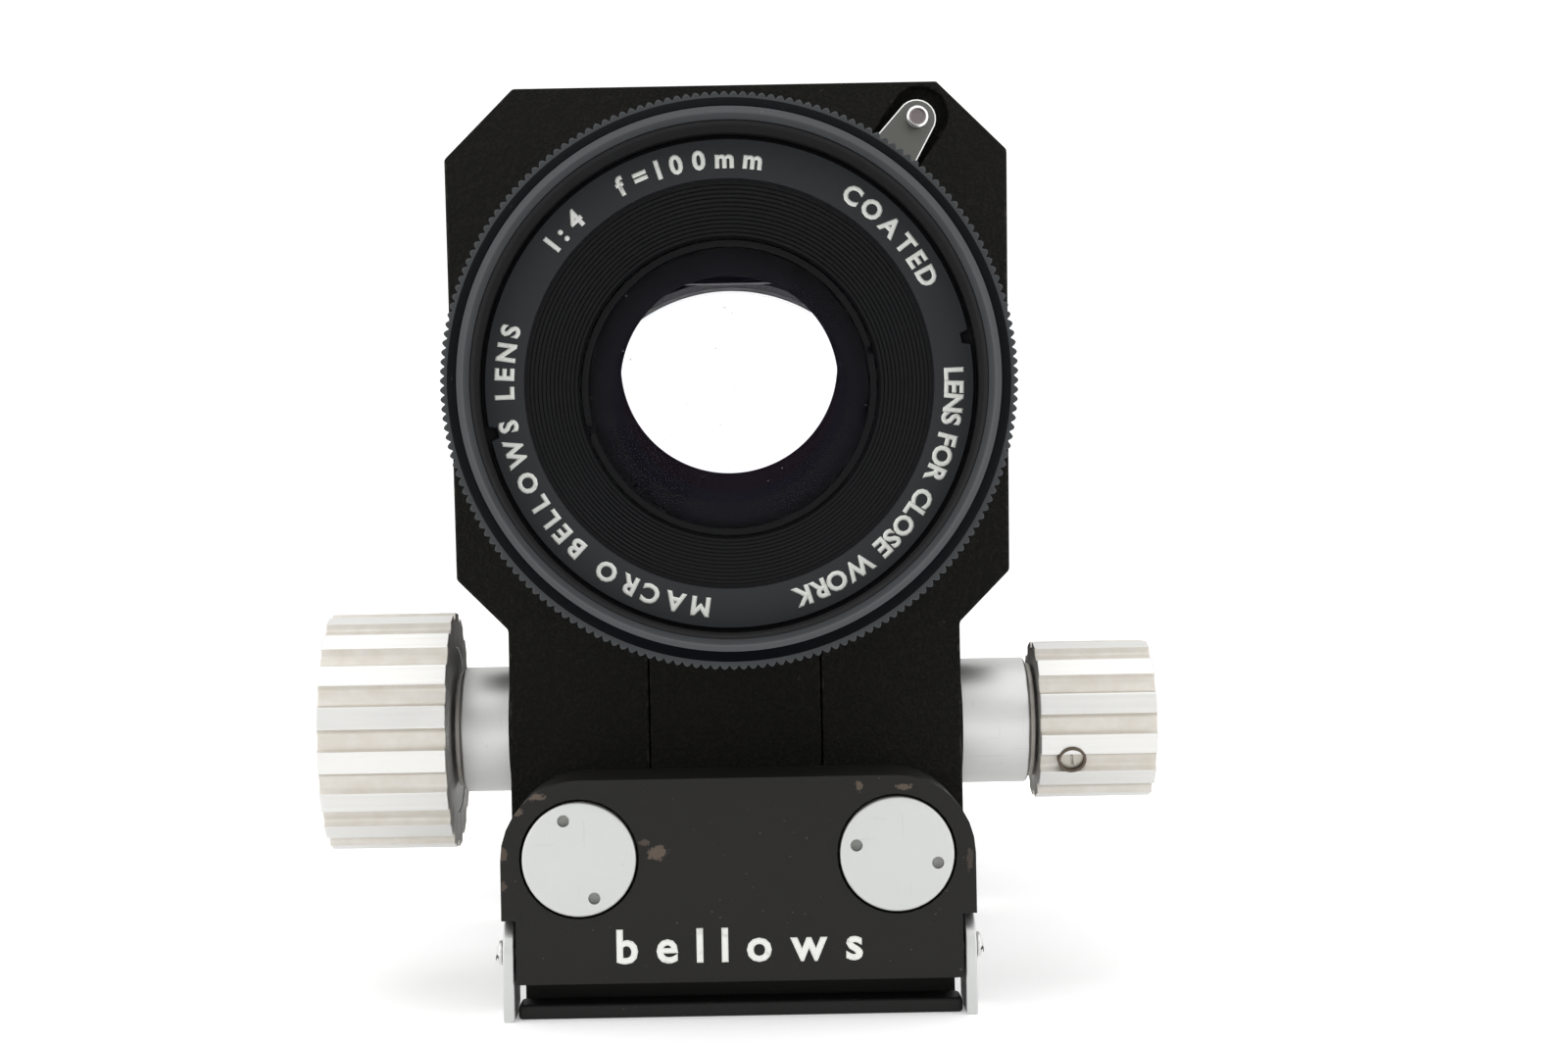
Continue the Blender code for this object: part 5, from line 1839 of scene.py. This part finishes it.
    def build_scale(self, shop: Workshop) -> None:
        """A millimetre scale along the top of the right rod.

        Args:
            shop: takes the finished pieces.
        """
        rod = Span.of("rod_right")
        ink = EngravingFill((0.03, 0.03, 0.03), (0.12, 0.12, 0.11)).make("scale_black_fill")
        form = Form()
        crown = rod.high.z
        for mark in range(-60, 61, 2):
            half = 0.0016 if mark % 10 == 0 else 0.0008
            low = Vector((rod.centre.x - half, mark * MM - 0.00008, crown - 0.00025))
            form.block(low, Vector((rod.centre.x + half, mark * MM + 0.00008, crown + 0.00002)))
        shop.fit(form, "rail_scale", "rail", [ink])


# ---------------------------------------------------------------------- bracket


@dataclass
class Bracket:
    """The fold-down foot under the front plate."""

    arm_edge: float = 0.00028
    plate_edge: float = 0.00045

    def build(self, shop: Workshop) -> None:
        """Makes the arms, the strip and the shoulder screws.

        Args:
            shop: takes the finished pieces.
        """
        satin_metal = Machined((0.64, 0.65, 0.64), (0.38, 0.37, 0.34), 0.36, Lay.SCRATCHED, dirt=0.2)
        silver = satin_metal.make("arm_aluminium")
        for side in ("left", "right"):
            shop.finish_node(f"bracket_arm_{side}", "bracket", silver, self.arm_edge, 3)
            self.build_screw(shop, side)
        satin = WornEnamel((), (0.0115, 0.0112, 0.0108)).make("bracket_enamel")
        shop.finish_node("bracket_plate", "bracket", satin, self.plate_edge, 3)

    def build_screw(self, shop: Workshop, side: str) -> None:
        """A shoulder screw with a domed head, across which a thin dark strip is laid as painted shade of a
        slot.

        Args:
            shop: takes the finished pieces.
            side: "left" or "right".
        """
        node = f"bracket_screw_{side}"
        span = Span.of(node)
        sign = -1 if side == "left" else 1
        way = RIGHT * sign
        tip = span.low.x if side == "left" else span.high.x
        arm = Span.of(f"bracket_arm_{side}")
        seat = (arm.low.x if side == "left" else arm.high.x) + sign * 0.0003
        centre = Vector((seat, span.centre.y, span.centre.z))
        radius = span.size.z / 2
        height = abs(tip - seat)
        depth = span.size.x - height
        form = Form()
        form.lathe(
            filleted([
                (0, -depth), (0.001, -depth), (0.001, 0), (radius, 0, 0.0001),
                (radius, height * 0.55, 0.0002), (0.0007, height), (0, height),
            ]),
            centre, way, 48,
        )
        # Painted shade: the slot is a thin dark strip laid across the dome, not cut into it.
        slot_shade_strip = Form()
        slot_shade_strip.block(
            Vector((-0.00002, -radius * 0.97, -0.00018)), Vector((0.00003, radius * 0.97, 0.00018))
        )
        bmesh.ops.transform(
            slot_shade_strip.mesh, verts=slot_shade_strip.mesh.verts,
            matrix=Matrix.Translation(centre + way * height) @ Matrix.Rotation(math.radians(25), 4, "X"),
        )
        steel = Machined((0.74, 0.74, 0.73), roughness=0.22, dirt=0.25).make(f"{node}_steel")
        dark = Machined((0.06, 0.055, 0.05), (0.02, 0.02, 0.02), 0.6, metallic=0.3).make(f"{node}_slot")
        shop.fit(form, f"{node}_domed", "rail", [steel], (node,))
        shop.fit(slot_shade_strip, f"{node}_slot", "rail", [dark])


# ---------------------------------------------------------------------- bellows


@dataclass
class Bellows:
    """The pleated light-proof tube, made as two halves."""

    folds: int = 15
    wall: float = 0.0006
    ridge_cut: float = 0.0022
    valley_cut: float = 0.0058
    valley_share: float = 0.82

    def build(self, shop: Workshop) -> None:
        """Makes both halves.

        Args:
            shop: takes the finished pieces.
        """
        span = Span.of("bellows")
        cloth = BellowsCloth().make("bellows_cloth")
        length = span.size.y / 2
        travels = {joint["name"]: max(abs(end) for end in joint["range_m"]) for joint in frame["joints"]
                   if joint["name"] in ("front_slide", "rear_slide")}
        for end, way in (("front", -1), ("rear", 1)):
            form = self.half(span, way, length)
            name = f"bellows_{end}_half"
            piece = shop.fit(form, name, "rail", [cloth], ("bellows",))
            travel = travels[f"{end}_slide"]
            (length - travel) / length
            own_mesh(piece)

    def loop(self, form: Form, span: Span, y: float, half: float, cut: float) -> list:
        """One eight-cornered ring of the tube, as verts.

        Args:
            form: the form it is added to.
            span: the room the whole tube has.
            y: where it is along the rail.
            half: half its width.
            cut: how much each corner is cut.

        Returns:
            The eight vertices.
        """
        corners = []
        for x, z in ((1, 1), (-1, 1), (-1, -1), (1, -1)):
            first, second = (half, half - cut), (half - cut, half)
            if x * z < 0:
                first, second = second, first
            corners += [(x * first[0], z * first[1]), (x * second[0], z * second[1])]
        return [
            form.mesh.verts.new((span.centre.x + x, y, span.centre.z + z)) for x, z in corners
        ]

    def half(self, span: Span, way: int, length: float) -> Form:
        """Half of the tube.

        Args:
            span: the room the whole tube has.
            way: -1 for the front half and 1 for the rear one.
            length: the half's length.

        Returns:
            The half as a form, a thin closed shell.
        """
        form = Form()
        outer = span.size.x / 2 - 0.0002
        inner = outer * self.valley_share
        count = 2 * self.folds
        rings = []
        for index in range(count + 1):
            ridge = index % 2 == 1
            half = outer if ridge else inner
            cut = self.ridge_cut if ridge else self.valley_cut
            rings.append(self.loop(form, span, span.centre.y + way * length * index / count, half, cut))
        for first, second in zip(rings, rings[1:]):
            pairs = [(ring[i - 1], ring[i]) for ring in (first, second) for i in range(len(ring))]
            loops = [form.mesh.edges.get(pair) or form.mesh.edges.new(pair) for pair in pairs]
            bmesh.ops.bridge_loops(form.mesh, edges=loops)
        bmesh.ops.recalc_face_normals(form.mesh, faces=form.mesh.faces)
        middle = span.centre
        sample = form.mesh.faces[0]
        away = sample.calc_center_median() - middle
        if sample.normal.dot(Vector((away.x, 0, away.z))) < 0:
            bmesh.ops.reverse_faces(form.mesh, faces=form.mesh.faces)
        ridges = [edge for edge in form.mesh.edges if edge.is_manifold and edge.calc_face_angle() > 0.5]
        made = bmesh.ops.bevel(
            form.mesh, geom=ridges, offset=0.00035, offset_type="OFFSET", affect="EDGES", segments=2,
            profile=0.5, material=-1, clamp_overlap=True,
        )
        for face in made["faces"]:
            away = face.calc_center_median() - middle
            face[form.marks["fold"]] = float(max(abs(away.x), abs(away.z)) > (outer + inner) / 2)
        bmesh.ops.solidify(form.mesh, geom=form.mesh.faces[:], thickness=self.wall)
        return form


# ----------------------------------------------------------------- camera mount


@dataclass
class CameraMount:
    """The turning mount ring at the back, and the screw that holds it."""

    sides: int = 160
    knurls: int = 16

    def build(self, shop: Workshop) -> None:
        """Makes the turned mount ring, and the lock screw.

        Args:
            shop: takes the finished pieces.
        """
        span = Span.of("camera_mount_ring")
        outer = span.size.x / 2
        bore = Span.of("bellows").size.x / 2 - 0.006
        centre = Vector((span.centre.x, span.low.y, span.centre.z))
        depth = span.size.y
        silver = Machined(lay=Lay.ROUND_Y, centre=tuple(centre), roughness=0.24).make("camera_mount_chrome")
        form = Form()
        form.lathe(
            filleted([
                (outer, 0, 0.0002), (outer, depth - 0.002, 0.0004), (outer - 0.002, depth - 0.0014, 0.0003),
                (outer - 0.0034, depth - 0.0014, 0.0002), (outer - 0.0036, depth, 0.0003),
                (bore, depth, 0.0004), (bore, 0, 0.0002),
            ]),
            centre, BACK, self.sides,
        )
        shop.fit(form, "camera_mount_turned", "camera_mount", [silver],
                 ("camera_mount_ring",))
        self.build_screw(shop)

    def build_screw(self, shop: Workshop) -> None:
        """The knurled finger screw that stops the mount turning.

        Args:
            shop: takes the finished pieces.
        """
        span = Span.of("rotation_lock_screw")
        ring = Span.of("camera_mount_ring")
        radius = span.size.x / 2
        base = Vector((span.centre.x, ring.low.y, span.centre.z))
        height = span.high.y - ring.low.y
        shank = ring.low.y - span.low.y
        metal = Machined((0.78, 0.78, 0.77), roughness=0.28, lay=Lay.ROUND_Y, centre=tuple(base))
        form = Form()
        place = axes(-RIGHT, UP, base)
        knurl = around(192, lambda angle: radius - 0.00018 * abs(math.sin(self.knurls * angle)))
        form.plate([knurl], place, height)
        form.soften(0.0002, 2, 60)
        form.lathe([(0, 0), (0.001, 0), (0.001, -shank), (0, -shank)], base - BACK * 0.00002, BACK, 24)
        shop.fit(form, "rotation_lock_knurled", "rotation_lock",
                 [metal.make("rotation_lock_steel")], ("rotation_lock_screw",))


# ----------------------------------------------------------------- tripod block


@dataclass
class TripodBlock:
    """The block that the unit stands on."""

    edge: float = 0.0006
    thread: float = 0.00032
    pitches: tuple = (("small", 0.003175, 0.00127), ("large", 0.00476, 0.00159))

    def build(self, shop: Workshop) -> None:
        """Makes the block and its two threaded sockets.

        Args:
            shop: takes the finished pieces.
        """
        crinkle = CrinklePaint().make("block_crinkle_paint")
        shop.finish_node("tripod_block", "tripod_block", crinkle, self.edge, 3)
        steel = Machined((0.55, 0.55, 0.54), roughness=0.3, lay=Lay.ROUND_Z, dirt=0.3).make("socket_steel")
        for label, bore, pitch in self.pitches:
            node = f"tripod_socket_{label}"
            span = Span.of(node)
            outer = span.size.x / 2
            base = Vector((span.centre.x, span.centre.y, span.low.z))
            depth = span.size.z
            profile = [(bore + self.thread, 0), (outer, 0), (outer, depth), (bore, depth)]
            turns = int(depth / pitch) - 1
            for turn in range(turns):
                level = depth - 0.3 * pitch - turn * pitch
                profile.append((bore, level - 0.1 * pitch))
                profile.append((bore + self.thread, level - 0.6 * pitch))
            form = Form()
            form.lathe(profile, base, UP, 72)
            shop.fit(form, f"{node}_threaded", "tripod_block", [steel], (node,))


# ----------------------------------------------------------------------- studio


@dataclass
class Studio:
    """The pale sweep, the soft lights and the camera."""

    camera_at: tuple = (0.0004, -0.382, 0.0573)
    focal: float = 58.95
    shift: float = 0.031
    roll: float = -1.05
    sky: float = 0.92
    sweep_radius: float = 0.9
    lights: tuple = (
        ("top_softbox", (-0.05, -0.2, 0.8), (0.0, -0.05, 0.05), 1.1, 3.0),
        ("left_softbox", (-0.75, -0.5, 0.4), (0.0, -0.08, 0.06), 0.9, 2.4),
        ("right_softbox", (0.75, -0.5, 0.4), (0.0, -0.08, 0.06), 0.9, 2.0),
    )

    def build(self) -> None:
        """Sets the stage."""
        self.build_sweep()
        self.build_world()
        for name, place, target, size, power in self.lights:
            self.build_light(name, Vector(place), Vector(target), size, power)
        self.build_camera()

    def build_sweep(self) -> None:
        """A floor that curves up into a wall behind."""
        form = Form()
        low = CAD_BOX[0][2]
        width, near, far = 4.0, -1.6, 1.4
        profile = [(near, low)]
        for step in range(17):
            angle = math.pi / 2 * step / 16
            reach = self.sweep_radius
            profile.append((far + reach * math.sin(angle), low + reach * (1 - math.cos(angle))))
        profile.append((far + self.sweep_radius, low + 4.0))
        verts = [form.mesh.verts.new((-width, y, z)) for y, z in profile]
        edges = [form.mesh.edges.new(pair) for pair in zip(verts, verts[1:])]
        grown = bmesh.ops.extrude_edge_only(form.mesh, edges=edges)
        moved = [item for item in grown["geom"] if isinstance(item, bmesh.types.BMVert)]
        bmesh.ops.translate(form.mesh, verts=moved, vec=(2 * width, 0, 0))
        sweep = form.piece("studio_sweep", [StudioPaper().make("studio_paper")])

    def build_world(self) -> None:
        """An even, pale sky."""
        world = bpy.data.worlds.new("studio_sky")
        world.use_nodes = True
        background = world.node_tree.nodes["Background"]
        background.inputs["Color"].default_value = (1.0, 1.0, 1.0, 1.0)
        background.inputs["Strength"].default_value = self.sky
        bpy.context.scene.world = world

    def build_light(self, name: str, place: Vector, target: Vector, size: float, power: float) -> None:
        """One square soft light that looks at a target.

        Args:
            name: the light's name.
            place: where it hangs.
            target: where it looks.
            size: its edge's length.
            power: its power in watts.
        """
        lamp = bpy.data.lights.new(name, "AREA")
        lamp.shape = "SQUARE"
        lamp.size = size
        lamp.energy = power
        holder = bpy.data.objects.new(name, lamp)
        holder.location = place
        holder.rotation_euler = (target - place).to_track_quat("-Z", "Y").to_euler()
        bpy.context.scene.collection.objects.link(holder)

    def build_camera(self) -> None:
        """The camera, level with the lens's lower half and rolled a little."""
        data = bpy.data.cameras.new("front_camera")
        data.lens = self.focal
        data.sensor_width = 36.0
        data.shift_x = self.shift
        data.clip_start = 0.01
        holder = bpy.data.objects.new("front_camera", data)
        turn = Matrix.Rotation(math.pi / 2, 4, "X") @ Matrix.Rotation(math.radians(self.roll), 4, "Z")
        holder.matrix_world = Matrix.Translation(self.camera_at) @ turn
        bpy.context.scene.collection.objects.link(holder)
        bpy.context.scene.camera = holder


def main() -> None:
    """Builds every sub-assembly."""
    logging.basicConfig(level=logging.INFO, format="%(message)s")
    bpy.context.scene.view_settings.view_transform = "Standard"
    shop = Workshop()
    for group in (Lens(), Standards(), ReleaseLever(), Controls(), Rail(), Bracket(), Bellows(),
                  CameraMount(), TripodBlock()):
        LOG.info("%s", type(group).__name__)
        group.build(shop)
    Studio().build()
    LOG.info("%d pieces fitted", shop.fitted)


if __name__ == "__main__":
    main()
